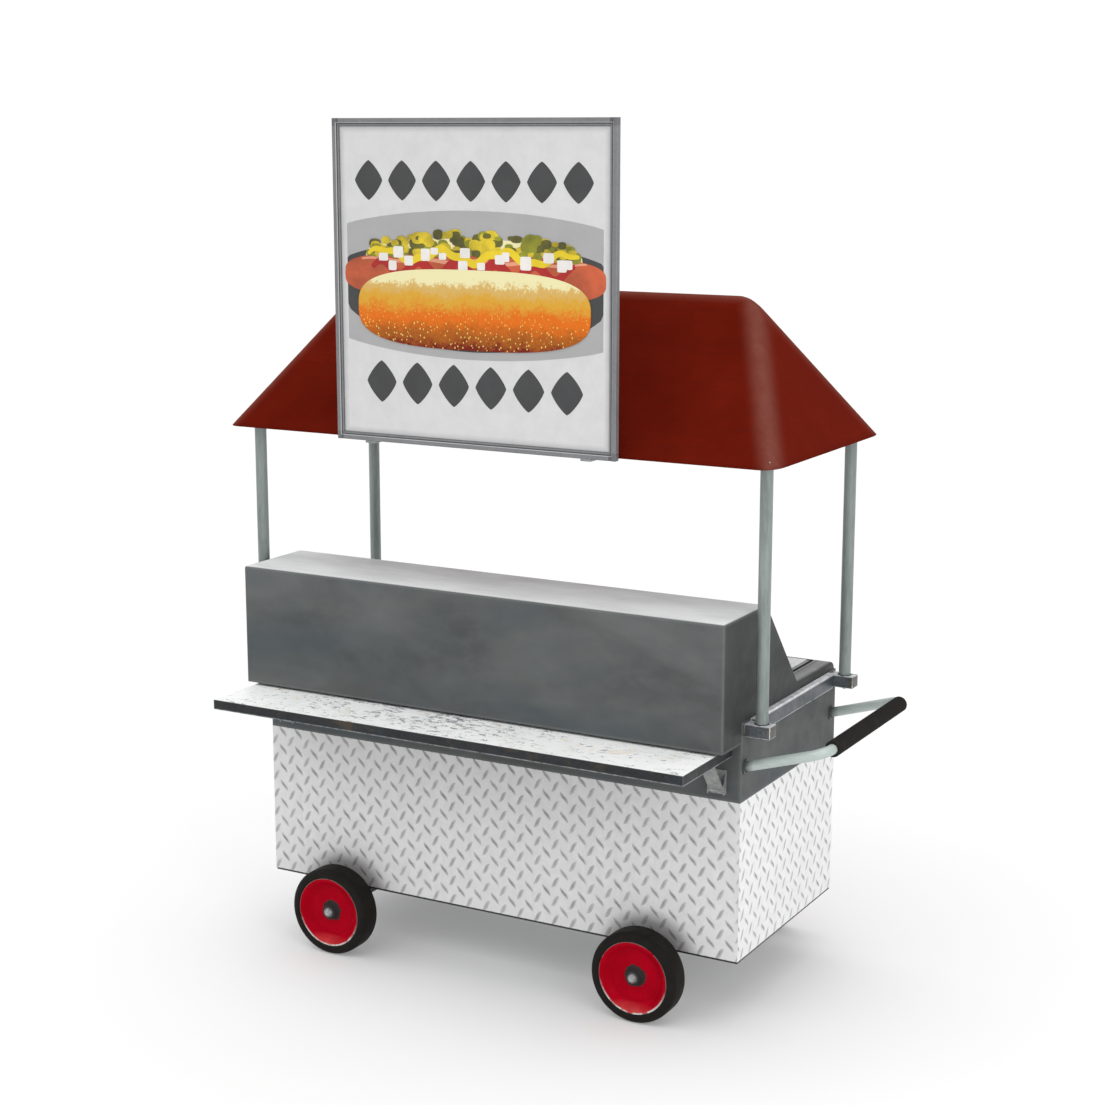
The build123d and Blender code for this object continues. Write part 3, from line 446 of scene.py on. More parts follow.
def rubber_finish():
    made = Finish("tyre_rubber", (0.0125, 0.0110, 0.0100), 0.70, 0.0, specular=0.12)
    dust = made.cloud((16, 4, 0.6), 0.5, 0.8, 0, 0.35)
    made.coat(made.mix(dust, (0.0105, 0.0090, 0.0080), (0.026, 0.0235, 0.021)))
    made.rough((30, 4), 0.58, 0.78)
    made.grain((420, 3, 0.6), 0.18, 0.0006)
    return made.material


def rim_finish(side):
    """Gloss red paint, chipped round the axle cap, darkened as painted shade in the web's corner, paler low
    on the rim as a painted highlight, and worn through low on the lip to bare metal that also serves as a
    painted highlight.
    """
    made = Finish("rim_paint_" + side, (0.36, 0.002, 0.012), 0.30, 0.0, specular=0.02)
    away = wheel_distance(made, [WHEELS[("left", "right").index(side)]])
    cloud = made.cloud((14, 4, 0.6), 0.3, 0.7)
    colour = made.mix(cloud, (0.335, 0.0003, 0.0080), (0.425, 0.0007, 0.0125))
    grime = made.cloud((8, 4, 0.65), 0.58, 0.8, 0, 0.25)
    colour = made.mix(grime, colour, (0.15, 0.002, 0.004))
    # Painted shade: a darker ring in the corner where the web meets the dish.
    corner = made.level(made.off(away, WEB_R), 0.001, 0.009, 0.12, 0.0)
    colour = made.mix(corner, colour, (0.10, 0.001, 0.003))
    chips = made.times(made.noise(62, 4, 0.7), 0.034)
    chipped = made.level(made.minus(chips, made.minus(away, 0.0230)), 0.0015, 0.0045)
    lip = made.level(away, LIP_R - 0.0032, LIP_R - 0.0018)
    worn = made.times(lip, made.cloud((48, 4, 0.7), 0.34, 0.48))
    colour = made.mix(chipped, colour, (0.036, 0.034, 0.033))
    foot = made.minus(WHEELS[0][1], made.parts()[2])
    # Painted highlight: a pale pink patch low on the rim, near the lip.
    low_highlight = made.times(made.level(foot, 0.084, 0.120), made.cloud((30, 3, 0.6), 0.30, 0.62, 0.18, 0.60))
    colour = made.mix(low_highlight, colour, (0.72, 0.120, 0.110))
    colour = made.mix(worn, colour, (0.17, 0.195, 0.17))
    # Bare metal low on the lip, worn through and also standing as a painted highlight.
    bare_and_highlight = made.times(made.level(away, LIP_R - 0.0075, LIP_R - 0.0045), made.level(foot, 0.020, 0.095))
    bare_and_highlight = made.times(bare_and_highlight, made.cloud((36, 4, 0.7), 0.36, 0.52))
    made.coat(made.mix(bare_and_highlight, colour, (0.66, 0.69, 0.66)))
    made.rough((24, 4), 0.22, 0.38)
    made.grain((150, 3), 0.05, 0.0004)
    return made.material


def shelf_finish():
    """White-painted steel: a scratched, flecked top with faint rust stains, and dark rusty edges."""
    low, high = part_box("shelf_panel")
    made = Finish("shelf_paint", (0.8, 0.8, 0.78), 0.45, 0.0, specular=0.3)
    upward = made.upward(0.6, 0.9)
    x, y, z = made.parts()
    middle = (low.x + high.x) / 2 - 0.18
    inward = made.level(made.off(x, middle), 0.05, 0.62, 1.0, 0.0)
    back = made.level(y, low.y + 0.03, high.y - 0.05, 0.30, 1.0)
    density = made.times(inward, back)
    white = made.mix(made.cloud((9, 4, 0.6), 0.3, 0.7), (0.90, 0.92, 0.91), (0.98, 0.985, 0.98))
    ochre = made.cloud((11, 5, 0.65, None, 0.7), 0.57, 0.72, 0, 0.6)
    white = made.mix(ochre, white, (0.80, 0.66, 0.46))
    broken = made.plus(made.noise(42, 5, 0.75, (0.8, 1.5, 1), 0.5), made.times(density, 0.15))
    flakes = made.level(broken, 0.588, 0.632)
    patches = made.cloud((7.0, 3, 0.55), 0.38, 0.50, 0.05, 1.0)
    scratch = made.plus(made.noise(55, 3, 0.6, (0.3, 3.4, 1), 0.5), made.times(density, 0.05))
    scratch = made.level(scratch, 0.65, 0.69, 0, 0.7)
    spots = made.most(made.times(flakes, patches), made.times(scratch, patches))
    dull = made.mix(made.cloud((31, 3, 0.6), 0.35, 0.65), (0.125, 0.145, 0.175), (0.27, 0.29, 0.30))
    top = made.mix(made.times(spots, 0.88), white, dull)
    tones = (0.0132, 0.0160, 0.0178), (0.0066, 0.0082, 0.0099), (0.031, 0.0355, 0.0365)
    steel = blotched(made, *tones, 12, (1, 1, 2))
    blue = made.cloud((9, 3, 0.6, (1, 1, 1.4)), 0.58, 0.72, 0, 0.5)
    steel = made.mix(blue, steel, (0.024, 0.031, 0.046))
    rust = made.cloud((13, 4, 0.65, (1, 1, 1.4), 0.6), 0.57, 0.69, 0, 0.75)
    steel = made.mix(rust, steel, (0.060, 0.042, 0.024))
    lip = made.level(z, low.z + 0.0022, low.z + 0.0040, 0.75, 0.0)
    steel = made.mix(made.times(lip, made.cloud((40, 3, 0.7), 0.3, 0.6)), steel, (0.34, 0.36, 0.36))
    colour = made.mix(upward, steel, top)
    rub = made.times(made.near_edge(low, high, 0.0030), made.cloud((45, 4, 0.7), 0.36, 0.5))
    colour = made.mix(made.times(rub, 0.35), colour, (0.20, 0.21, 0.21))
    made.coat(colour)
    made.rough((20, 4), 0.36, 0.58)
    made.bump(made.times(spots, -1.0), 0.3, 0.0004)
    made.grain((150, 3), 0.08, 0.0005)
    return made.material


def rail_finish(name, base=(0.070, 0.079, 0.090), low=None, high=None):
    """Blue-grey steel with a rubbed top painted nearly white as painted light, a bright lower edge and a few
    rust spots.
    """
    made = Finish(name, base, 0.34, 0.10)
    colour = blotched(made, base, tuple(c * 0.55 for c in base), tuple(min(1.0, c * 1.9) for c in base), 16)
    blue = made.cloud((11, 3, 0.6), 0.54, 0.68, 0, 0.6)
    colour = made.mix(blue, colour, tuple(c * t for c, t in zip(base, (0.55, 0.66, 0.92))))
    rust = made.cloud((19, 4, 0.65), 0.66, 0.76, 0, 0.8)
    colour = made.mix(rust, colour, (0.10, 0.062, 0.034))
    if low is not None:
        z = made.parts()[2]
        foot = made.level(z, low.z + 0.0014, low.z + 0.0028, 0.85, 0.0)
        foot = made.times(foot, made.cloud((60, 3, 0.7), 0.38, 0.5))
        colour = made.mix(foot, colour, (0.52, 0.54, 0.54))
    # Painted light: faces that look up, and the top of the sides, are mixed towards a rubbed near-white.
    upward = made.upward(0.7, 0.95, 0.0, 0.92)
    if high is not None:
        shoulder = made.level(made.parts()[2], high.z - 0.0110, high.z - 0.0060, 0.0, 0.85)
        upward = made.most(upward, shoulder)
    lit_worn_top = made.mix(made.cloud((34, 4, 0.7), 0.40, 0.62), (0.62, 0.64, 0.66), (0.95, 0.96, 0.97))
    made.coat(made.mix(upward, colour, lit_worn_top))
    made.rough((24, 4), 0.26, 0.46)
    made.grain((190, 3), 0.10, 0.0005)
    return made.material


def bracket_finish(low, high):
    """Cast blocks: dark bluish sides, edges painted white as wear and as highlights, a rust stain at the
    outer end and a top painted bright as painted light.
    """
    made = Finish("bracket_cast", (0.13, 0.145, 0.165), 0.36, 0.15)
    x, y, z = made.parts()
    middle = (low + high) / 2
    out_x = made.off(x, middle.x)
    out_y = made.off(y, middle.y)
    half_x = (high.x - low.x) / 2
    half_y = (high.y - low.y) / 2
    gap_x = made.least(made.minus(half_x, out_x), made.minus(out_x, half_x - BRACKET_LENGTH))
    gap_y = made.least(made.minus(half_y, out_y), made.minus(out_y, half_y - BRACKET_BREADTH))
    gap_z = made.inside(z, low.z, high.z)
    least = made.least(gap_x, gap_y)
    most = made.most(gap_x, gap_y)
    edge = made.level(made.most(least, made.least(most, gap_z)), 0.0012, 0.0040, 1.0, 0.0)
    side = blotched(made, (0.085, 0.097, 0.110), (0.045, 0.054, 0.066), (0.17, 0.185, 0.20), 22)
    stain = made.times(made.level(gap_x, 0.006, 0.024, 1.0, 0.0), made.cloud((36, 4, 0.65), 0.38, 0.56))
    side = made.mix(made.times(stain, 0.8), side, (0.085, 0.062, 0.036))
    # Painted light: faces that look up are mixed towards near-white.
    upward = made.upward(0.7, 0.95)
    top = made.mix(made.cloud((60, 4, 0.7), 0.40, 0.62), (0.40, 0.42, 0.44), (0.88, 0.90, 0.91))
    colour = made.mix(upward, side, top)
    # The edges are painted white both as wear and as painted highlights.
    worn = made.times(edge, made.cloud((55, 3, 0.7), 0.34, 0.60, 0.15, 0.9))
    made.coat(made.mix(worn, colour, (0.78, 0.80, 0.80)))
    made.grain((190, 3), 0.12, 0.0005)
    return made.material


def painted(name, colour, roughness=0.5, fine=200, strength=0.1, dark=0.75, specular=None):
    """Plain paint, plastic or print: an uneven tone and a fine orange peel."""
    made = Finish(name, colour, roughness, 0.0, specular)
    deep = tuple(c * dark for c in colour)
    made.coat(made.mix(made.cloud((11, 4, 0.6), 0.3, 0.7), deep, colour))
    made.grain((fine, 3, 0.6), strength, 0.0005)
    return made.material


def foam_finish():
    made = Finish("grip_foam", (0.016, 0.015, 0.014), 0.92, 0.0, specular=0.05)
    pores = made.cells(420)
    worn = made.cloud((18, 4, 0.6), 0.5, 0.8, 0, 0.5)
    colour = made.mix(made.level(pores, 0.05, 0.4), (0.0102, 0.0096, 0.0089), (0.0214, 0.0199, 0.0187))
    made.coat(made.mix(worn, colour, (0.035, 0.033, 0.031)))
    made.bump(pores, 0.35, 0.0008)
    return made.material


def sign_board_finish():
    made = Finish("sign_board", grey(0.72), 0.60, 0.0, specular=0.2)
    low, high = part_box("sign_panel")
    paper = made.mix(made.cloud((22, 4, 0.6), 0.3, 0.7), grey(0.60), grey(0.65))
    x, _, z = made.parts()
    edge_x = made.inside(x, low.x, high.x)
    edge_z = made.inside(z, low.z, high.z)
    inward = made.least(edge_x, edge_z)
    # Painted shadow of the frame on the board: darker inside the bars, fading inwards, with a crisp dark line
    # right along the bars.
    shade = made.level(inward, SIGN_BAR, SIGN_BAR + 0.022, 0.45, 0.0)
    shade = made.times(shade, made.cloud((18,), 0.2, 0.7, 0.75, 1.0))
    paper = made.mix(shade, paper, (0.20, 0.205, 0.21))
    frame_edge_shadow = made.level(inward, SIGN_BAR + 0.0005, SIGN_BAR + 0.0035, 0.85, 0.0)
    made.coat(made.mix(frame_edge_shadow, paper, (0.055, 0.056, 0.058)))
    made.grain((240, 3), 0.08, 0.0004)
    return made.material


def bun_finish(name, low, high):
    """A printed bun: cream at its cut edge, through gold to a dark crust with pale seeds."""
    made = Finish(name, (0.7, 0.4, 0.1), 0.55, 0.0, specular=0.2)
    cloud = made.times(made.noise(15, 4, 0.7), 0.085)
    grain = made.times(made.noise(130, 3, 0.7), 0.075)
    ragged = made.plus(made.parts()[2], made.plus(cloud, grain))
    height = made.level(ragged, low + 0.08, high + 0.08)
    colour = made.mix(made.level(height, 0.02, 0.14), (0.16, 0.010, 0.004), (0.36, 0.095, 0.008))
    colour = made.mix(made.level(height, 0.18, 0.36), colour, (0.70, 0.150, 0.006))
    colour = made.mix(made.level(height, 0.44, 0.60), colour, (0.66, 0.350, 0.035))
    colour = made.mix(made.level(height, 0.64, 0.72), colour, (0.64, 0.41, 0.12))
    colour = made.mix(made.level(height, 0.78, 0.84), colour, (0.80, 0.74, 0.42))
    scatter = made.level(made.cells(95, (1, 1, 0.75)), 0.17, 0.25, 1.0, 0.0)
    seeds = made.times(scatter, made.level(height, 0.28, 0.58, 1.0, 0.0))
    made.coat(made.mix(seeds, colour, (0.78, 0.58, 0.14)))
    made.grain((240, 3), 0.06, 0.0004)
    return made.material


# ------------------------------------------------------------ meshes


def piece(name, vertices, faces, material, body="cart", smooth=False, slot=None):
    mesh = bpy.data.meshes.new(name)
    mesh.from_pydata(vertices, [], faces)
    mesh.materials.append(material)
    mesh.shade_smooth() if smooth else mesh.shade_flat()
    made = bpy.data.objects.new(name, mesh)
    bpy.context.scene.collection.objects.link(made)
    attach(made, body)
    return made


def outward(made):
    """Turns every face of a closed mesh to face outwards."""
    work = bmesh.new()
    work.from_mesh(made.data)
    bmesh.ops.recalc_face_normals(work, faces=work.faces)
    work.to_mesh(made.data)
    work.free()
    return made


def tube_faces(rows, count):
    """Faces between closed rows of count points each, the last row joined to the first."""
    faces = []
    for i in range(rows):
        j = (i + 1) % rows
        for k in range(count):
            m = (k + 1) % count
            faces.append((i * count + k, j * count + k, j * count + m, i * count + m))
    return faces


def ring(axis_point, axis, inner, outer, thickness, segments=48):
    """Vertices and faces of a flat-sided ring with one bevelled edge, standing along axis."""
    axis = Vector(axis).normalized()
    side = axis.orthogonal().normalized()
    up = axis.cross(side)
    bevel = min(thickness, outer - inner) * 0.3
    profile = [
        (inner, 0.0), (outer, 0.0), (outer, thickness - bevel),
        (outer - bevel, thickness), (inner, thickness),
    ]
    vertices = []
    for i in range(segments):
        turn = 2 * math.pi * i / segments
        out = side * math.cos(turn) + up * math.sin(turn)
        vertices += [Vector(axis_point) + out * r + axis * h for r, h in profile]
    return vertices, tube_faces(segments, len(profile))


def gather(*groups):
    """Several (vertices, faces) as one."""
    vertices = []
    faces = []
    for more_vertices, more_faces in groups:
        start = len(vertices)
        vertices += more_vertices
        faces += [tuple(start + i for i in f) for f in more_faces]
    return vertices, faces


# ------------------------------------------------------------ CAD nodes' finishes


def paint(material, *names):
    for name in names:
        data = NODES[name].data
        if not data.materials:
            data.materials.append(material)
        for i in range(len(data.materials)):
            NODES[name].material_slots[i].link = "OBJECT"
            NODES[name].material_slots[i].material = material


# The ends, sill, doors and hinges take a lighter copy of the front's plate: painted light on the same metal.
TREAD = tread_finish("tread_plate", 0.72)
TREAD_END_LIT = tread_finish("tread_plate_end_lit", 0.88)
POST = galvanised("post_galvanised", (0.245, 0.287, 0.276), (0.168, 0.198, 0.187), (0.350, 0.397, 0.383),
                  (2.2, 2.2, 0.35), 0.15)
HANDLE = handle_finish()
INNER = galvanised("inner_galvanised", (0.34, 0.36, 0.36), (0.25, 0.27, 0.27), (0.45, 0.47, 0.465))
DARK_STEEL = galvanised("dark_steel", (0.060, 0.064, 0.064), (0.030, 0.033, 0.034), (0.12, 0.125, 0.12),
                        metallic=0.6)
RAIL = rail_finish("rail_steel")
BRIGHT = brushed_steel("bright_steel", 0.62)
LID = brushed_steel("lid_steel", 0.86, (1, 30, 1), 0.40, 0.1)
COUNTER = counter_finish()
PROP = rail_finish("prop_steel", (0.270, 0.278, 0.268))
POCKET = rail_finish("pocket_steel", (0.27, 0.28, 0.28))
CAP = cap_finish()
RUBBER = rubber_finish()
ALU = frame_finish()

# The housing's ends take painted shade through end_tone.
paint(weathered("housing_steel", *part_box("housing_shell"), end_tone=0.44),
      "housing_shell", "housing_shelf", "housing_flap_left", "housing_flap_right")
for end in ("front", "left_end", "rear", "right_end"):
    paint(weathered("band_steel_" + end, *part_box("band_" + end)), "band_" + end)
paint(TREAD, "tread_panel_front")
paint(TREAD_END_LIT, "tread_panel_left_end", "tread_panel_right_end", "tread_sill_rear",
      "door_left", "door_right", "door_hinges")
paint(POST, "roof_posts")
paint(HANDLE, "handle_tube")
paint(INNER, "cabinet_uprights", "floor_pan", "water_tank", "roof_top_frame", "roof_tubes", "roof_connectors",
      "sign_stays", "sign_straps")
paint(painted("chassis_paint", (0.022, 0.024, 0.024), 0.55), "chassis_frame")
paint(DARK_STEEL, "axles", "axle_hangers", "axle_spacers", "gas_burner")
paint(CAP, "axle_caps")
RAILS_LOW, RAILS_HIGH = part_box("end_rails")
paint(rail_finish("end_rail_steel", low=RAILS_LOW, high=RAILS_HIGH), "end_rails")
paint(RAIL, "post_brackets", "post_bolts")
paint(BRIGHT, "food_pans", "pan_lid_rod", "housing_flap_rod")
paint(LID, "pan_lid_left", "pan_lid_middle", "pan_lid_right")
paint(DARK_STEEL, "shelf_hinges")
paint(COUNTER, "counter_top")
paint(PROP, "shelf_prop_left", "shelf_prop_right")
paint(POCKET, "shelf_prop_brackets")
paint(shelf_finish(), "shelf_panel")
paint(ALU, "sign_frame")
paint(sign_board_finish(), "sign_panel")
paint(foam_finish(), "handle_grip")
paint(painted("knob_plastic", (0.020, 0.020, 0.021), 0.38), "burner_knob_left", "burner_knob_right")


# ------------------------------------------------------------ chequer-plate lugs

PITCH = (66.5 * MM, 65.6 * MM)
FIRST_LUG = (BODY_X - 856.6 * MM, 274.5 * MM)
LUG_HALF = 26 * MM
LUG_HALF_WIDTH = 7.4 * MM
LUG_HEIGHT = 1.0 * MM
LUG_SINK = 0.15 * MM
LUG_BEND = 1.8 * MM
LUG_SLANT = math.radians(53)
LUG_STEPS = (-1.0, -0.86, -0.6, -0.25, 0.25, 0.6, 0.86, 1.0)
LUG_ACROSS = (-1.0, -0.5, 0.0, 0.5, 1.0)
LUG_RISE = (0.0, 0.86, 1.0, 0.86, 0.0)
# Painted shade across each lug, side to side: darkest along its middle, and more on the falling lugs than on
# the rising ones.
FALLING_SHADE = (0.0, 0.55, 1.0, 0.62, 0.0)
RISING_SHADE = (0.12, 0.55, 0.76, 0.62, 0.22)


def lug(centre, along, across, out, slant, tones):
    """One tapered, slightly bent lug in the plane of along and across, raised along out."""
    run = along * math.cos(slant) + across * math.sin(slant)
    side = out.cross(run)
    base = centre - out * LUG_SINK
    vertices = []
    shades = []
    rows = []
    for t in LUG_STEPS:
        swell = 1 - t * t
        middle = base + run * (t * LUG_HALF) + side * (LUG_BEND * math.sin(math.pi * t))
        if swell < 1e-6:
            rows.append([len(vertices)])
            vertices.append(middle)
            shades.append(0.0)
            continue
        rows.append([len(vertices) + k for k in range(len(LUG_ACROSS))])
        for across_by, rise, tone in zip(LUG_ACROSS, LUG_RISE, tones):
            lift = (LUG_HEIGHT + LUG_SINK) * rise * swell ** 0.5
            vertices.append(middle + side * (LUG_HALF_WIDTH * swell ** 0.7 * across_by) + out * lift)
            shades.append(tone * swell ** 0.6)
    faces = []
    last = len(LUG_ACROSS) - 1
    for a, b in zip(rows, rows[1:]):
        if len(a) == 1:
            faces += [(a[0], b[k], b[k + 1]) for k in range(last)] + [(a[0], b[last], b[0])]
        elif len(b) == 1:
            faces += [(a[k], b[0], a[k + 1]) for k in range(last)] + [(a[last], b[0], a[0])]
        else:
            faces += [(a[k], b[k], b[k + 1], a[k + 1]) for k in range(last)]
            faces.append((a[last], b[last], b[0], a[0]))
    return vertices, faces, shades


def trimmed(made, planes):
    """Cuts a closed mesh off beyond each plane, (point, outward direction), and closes the cuts."""
    work = bmesh.new()
    work.from_mesh(made.data)
    for point, away in planes:
        everything = work.verts[:] + work.edges[:] + work.faces[:]
        cut = bmesh.ops.bisect_plane(work, geom=everything, plane_co=point, plane_no=away, clear_outer=True)
        edges = [e for e in cut["geom_cut"] if isinstance(e, bmesh.types.BMEdge)]
        bmesh.ops.holes_fill(work, edges=edges, sides=0)
    bmesh.ops.recalc_face_normals(work, faces=work.faces)
    work.to_mesh(made.data)
    work.free()
    return made


def broad_face(node):
    """The y of a door sheet's outer face, which its knuckles and pull stand beyond."""
    areas = {}
    for polygon in NODES[node].data.polygons:
        if polygon.normal.y > 0.99:
            level = round(polygon.center.y, 4)
            areas[level] = areas.get(level, 0.0) + polygon.area
    return max(areas, key=areas.get)


def lugged(name, node, out, body, material, skip=(), level=None):
    """Rows of crossed lugs over a flat sheet's outer face, but not in the boxes of skip.

    A box is (from, to) along the sheet and then (from, to) in z."""
    low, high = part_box(node)
    out = Vector(out)
    along = Vector((1, 0, 0)) if abs(out.y) > 0.5 else Vector((0, 1, 0))
    across = Vector((0, 0, 1))
    face = high if (out.x + out.y) > 0 else low
    plane = out * (face.dot(out) if level is None else level)
    start = along.dot(low)
    end = along.dot(high)
    vertices = []
    faces = []
    shades = []
    reach = LUG_HALF
    seen_right = out.cross(across).dot(along)
    first_column = math.floor((start - FIRST_LUG[0]) / PITCH[0]) - 1
    last_column = math.ceil((end - FIRST_LUG[0]) / PITCH[0]) + 1
    first_row = math.floor((low.z - FIRST_LUG[1]) / PITCH[1]) - 1
    last_row = math.ceil((high.z - FIRST_LUG[1]) / PITCH[1]) + 1
    for i in range(first_column, last_column):
        for j in range(first_row, last_row):
            for half, slant, tones in ((0.0, -LUG_SLANT, FALLING_SHADE), (0.5, LUG_SLANT, RISING_SHADE)):
                a = FIRST_LUG[0] + (i + half) * PITCH[0]
                z = FIRST_LUG[1] + (j + half) * PITCH[1]
                if not (start - reach < a < end + reach and low.z - reach < z < high.z + reach):
                    continue
                if any(p - reach < a < q + reach and r - reach < z < t + reach for p, q, r, t in skip):
                    continue
                slanted = slant if seen_right < 0 else -slant
                more, made, shade = lug(plane + along * a + across * z, along, across, out, slanted, tones)
                first = len(vertices)
                vertices += more
                faces += [tuple(first + k for k in f) for f in made]
                strength = rng.uniform(0.8, 1.0)
                shades += [value * strength for value in shade]
    made = piece(name, vertices, faces, material, body, True, "tread_plate")
    shade_data = made.data.attributes.new("shade", "FLOAT", "POINT")
    shade_data.data.foreach_set("value", shades)
    inset = 0.3 * MM
    return trimmed(made, (
        (along * (start + inset), -along), (along * (end - inset), along),
        (across * (low.z + inset), -across), (across * (high.z - inset), across),
    ))


# The lugs on the ends, sill and doors take a lighter copy of the same finish: painted light.
LUG = lug_finish("tread_lug", 0.72, 0.105)
LUG_END_LIT = lug_finish("tread_lug_end_lit", 0.88, 0.14)
lugged("lugs_front", "tread_panel_front", (0, -1, 0), "cart", LUG)
lugged("lugs_left_end", "tread_panel_left_end", (-1, 0, 0), "cart", LUG_END_LIT)
lugged("lugs_right_end", "tread_panel_right_end", (1, 0, 0), "cart", LUG_END_LIT)
lugged("lugs_sill", "tread_sill_rear", (0, 1, 0), "cart", LUG_END_LIT)
for hand, sign in (("left", -1), ("right", 1)):
    DOOR_LOW, DOOR_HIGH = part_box("door_" + hand)
    pull = sorted((BODY_X + sign * 40 * MM, BODY_X + sign * 80 * MM))
    hinge = (DOOR_LOW.x, DOOR_LOW.x + 14 * MM) if sign < 0 else (DOOR_HIGH.x - 14 * MM, DOOR_HIGH.x)
    lugged("lugs_door_" + hand, "door_" + hand, (0, 1, 0), "door_" + hand, LUG_END_LIT,
           ((*pull, 490 * MM, 630 * MM), (*hinge, DOOR_LOW.z, DOOR_HIGH.z)), broad_face("door_" + hand))


# ------------------------------------------------------------ wheels


def turned(centre, side, outline, segments):
    """A closed outline of (radius, distance out along y) turned about an axle at centre.

    side is -1 at the front of the cart and 1 at the back."""
    vertices = []
    for i in range(segments):
        turn = 2 * math.pi * i / segments
        for radius, reach in outline:
            radius = max(radius, 0.00002)
            x = centre[0] + radius * math.cos(turn)
            vertices.append((x, centre[1] + side * reach, centre[2] + radius * math.sin(turn)))
    return vertices, tube_faces(segments, len(outline))


def lathe(name, centre, side, outline, material, body, slot):
    return outward(piece(name, *turned(centre, side, outline, 96), material, body, True, slot))


def arc(middle, radius, start, end, steps):
    """Points of a circular arc in a lathe outline, angles in degrees."""
    points = []
    for i in range(steps + 1):
        turn = math.radians(start + (end - start) * i / steps)
        points.append((middle[0] + radius * math.cos(turn), middle[1] + radius * math.sin(turn)))
    return points


def eased(start, end, steps):
    """Points between two of an outline on a curve that is level at both ends."""
    points = []
    for i in range(1, steps):
        t = i / steps
        ease = t * t * (3 - 2 * t)
        points.append((start[0] + (end[0] - start[0]) * t, start[1] + (end[1] - start[1]) * ease))
    return points


def build_wheels():
    half_width = 45 * MM
    shoulder = 20 * MM
    bead = 122.1 * MM
    web_out = 19 * MM
    web_hub = web_out - 1.5 * MM
    lip_out = 41.5 * MM
    sheet = 4 * MM
    hub = 27 * MM
    bore = 12.6 * MM
    boss_out = 32.6 * MM
    back_out = -40.5 * MM
    wall = [(bead + 5 * MM, half_width), (bead + 1.5 * MM, half_width - 1.2 * MM),
            (bead, half_width - 4 * MM)]
    lip_in = (LIP_R - 4.5 * MM, lip_out - 0.5 * MM)
    for place, side in (("front", -1), ("rear", 1)):
        for hand in ("left", "right"):
            name = f"{place}_{hand}"
            centre = centre_of("tyre_" + name)
            crown = TYRE_R
            outline = arc((crown - shoulder, half_width - shoulder), shoulder, 0, 90, 9)
            outline += wall + [(radius, -reach) for radius, reach in reversed(wall)]
            outline += arc((crown - shoulder, shoulder - half_width), shoulder, 270, 360, 9)
            made = lathe("tyre_round_" + name, centre, side, outline, RUBBER, f"wheel_{name}", "tyre_rubber")
            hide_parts("tyre_" + name)
            outer = [(LIP_R, lip_out - 2 * MM), (LIP_R - 1.2 * MM, lip_out), lip_in]
            outer += eased(lip_in, (WEB_R, web_out), 12) + [(WEB_R, web_out), (hub + 6 * MM, web_hub)]
            outer += eased((hub + 6 * MM, web_hub), (bore + 4 * MM, boss_out), 6)
            outer += [(bore + 4 * MM, boss_out), (bore, boss_out)]
            inner = [(bore, -37 * MM), (hub, -37 * MM), (hub, web_hub - sheet), (WEB_R, web_out - sheet)]
            inner += eased((WEB_R, web_out - sheet), (LIP_R - 6 * MM, lip_out - 8 * MM), 8)
            inner += [(LIP_R - 6 * MM, -38 * MM), (LIP_R - 4.5 * MM, back_out), (LIP_R, back_out)]
            made = lathe("rim_dished_" + name, centre, side, outer + inner, RIM[hand],
                         f"wheel_{name}", "rim_red")
            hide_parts("rim_" + name)


RIM = {hand: rim_finish(hand) for hand in ("left", "right")}
build_wheels()


def build_caps():
    """A washer with a domed nut on the outer end of each axle."""
    low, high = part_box("axle_caps")
    outline = [(0.0, -12.5 * MM), (24 * MM, -12.5 * MM), (25 * MM, -12.0 * MM), (25 * MM, -10.6 * MM),
               (24 * MM, -10.0 * MM), (17.5 * MM, -9.6 * MM), (17.2 * MM, -6 * MM)]
    outline += arc((7.5 * MM, -8.6 * MM), 8.6 * MM, 10, 90, 8) + [(0.0, 0.0)]
    groups = []
    for x, z in WHEELS:
        for y, side in ((low.y, -1), (high.y, 1)):
            groups.append(turned((x, y, z), side, outline, 48))
    made = outward(piece("axle_domes", *gather(*groups), CAP, "cart", True, "axle_steel"))
    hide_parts("axle_caps")


build_caps()


# ------------------------------------------------------------ canopy

CANOPY_LOW, CANOPY_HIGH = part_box("canopy")
CANOPY_MID = (CANOPY_LOW + CANOPY_HIGH) / 2
EAVE_Z = CANOPY_LOW.z
PEAK_Z = 2308 * MM
EAVE_HALF = (1019 * MM, 458 * MM)
RIDGE_HALF = 745 * MM
RIDGE_ROUND = 68 * MM
HIP_ROUND = 110 * MM
LONG_FALL = (PEAK_Z - EAVE_Z) / EAVE_HALF[1]
END_FALL = (PEAK_Z - EAVE_Z) / (EAVE_HALF[0] - RIDGE_HALF)


def rounded_least(a, b, reach):
    near = max(reach - abs(a - b), 0.0) / reach
    return min(a, b) - near * near * reach / 4


def canopy_planes(x, y):
    ridge = rounded_least(PEAK_Z - LONG_FALL * y, PEAK_Z + LONG_FALL * y, RIDGE_ROUND)
    end = PEAK_Z - END_FALL * (abs(x) - RIDGE_HALF)
    return ridge, end


def canopy_height(x, y):
    ridge, end = canopy_planes(x, y)
    return rounded_least(ridge, end, HIP_ROUND)


def canopy_roll(x, y):
    """How much the cloth is bent at a point: 1 on a hip or the ridge, 0 on a flat slope."""
    ridge, end = canopy_planes(x, y)
    hip = max(1 - abs(ridge - end) / (HIP_ROUND * 1.15), 0.0)
    crest = max(1 - 2 * LONG_FALL * abs(y) / (RIDGE_ROUND * 1.3), 0.0) if abs(x) < RIDGE_HALF else 0.0
    bent = max(hip, crest)
    return bent * bent * (3 - 2 * bent)


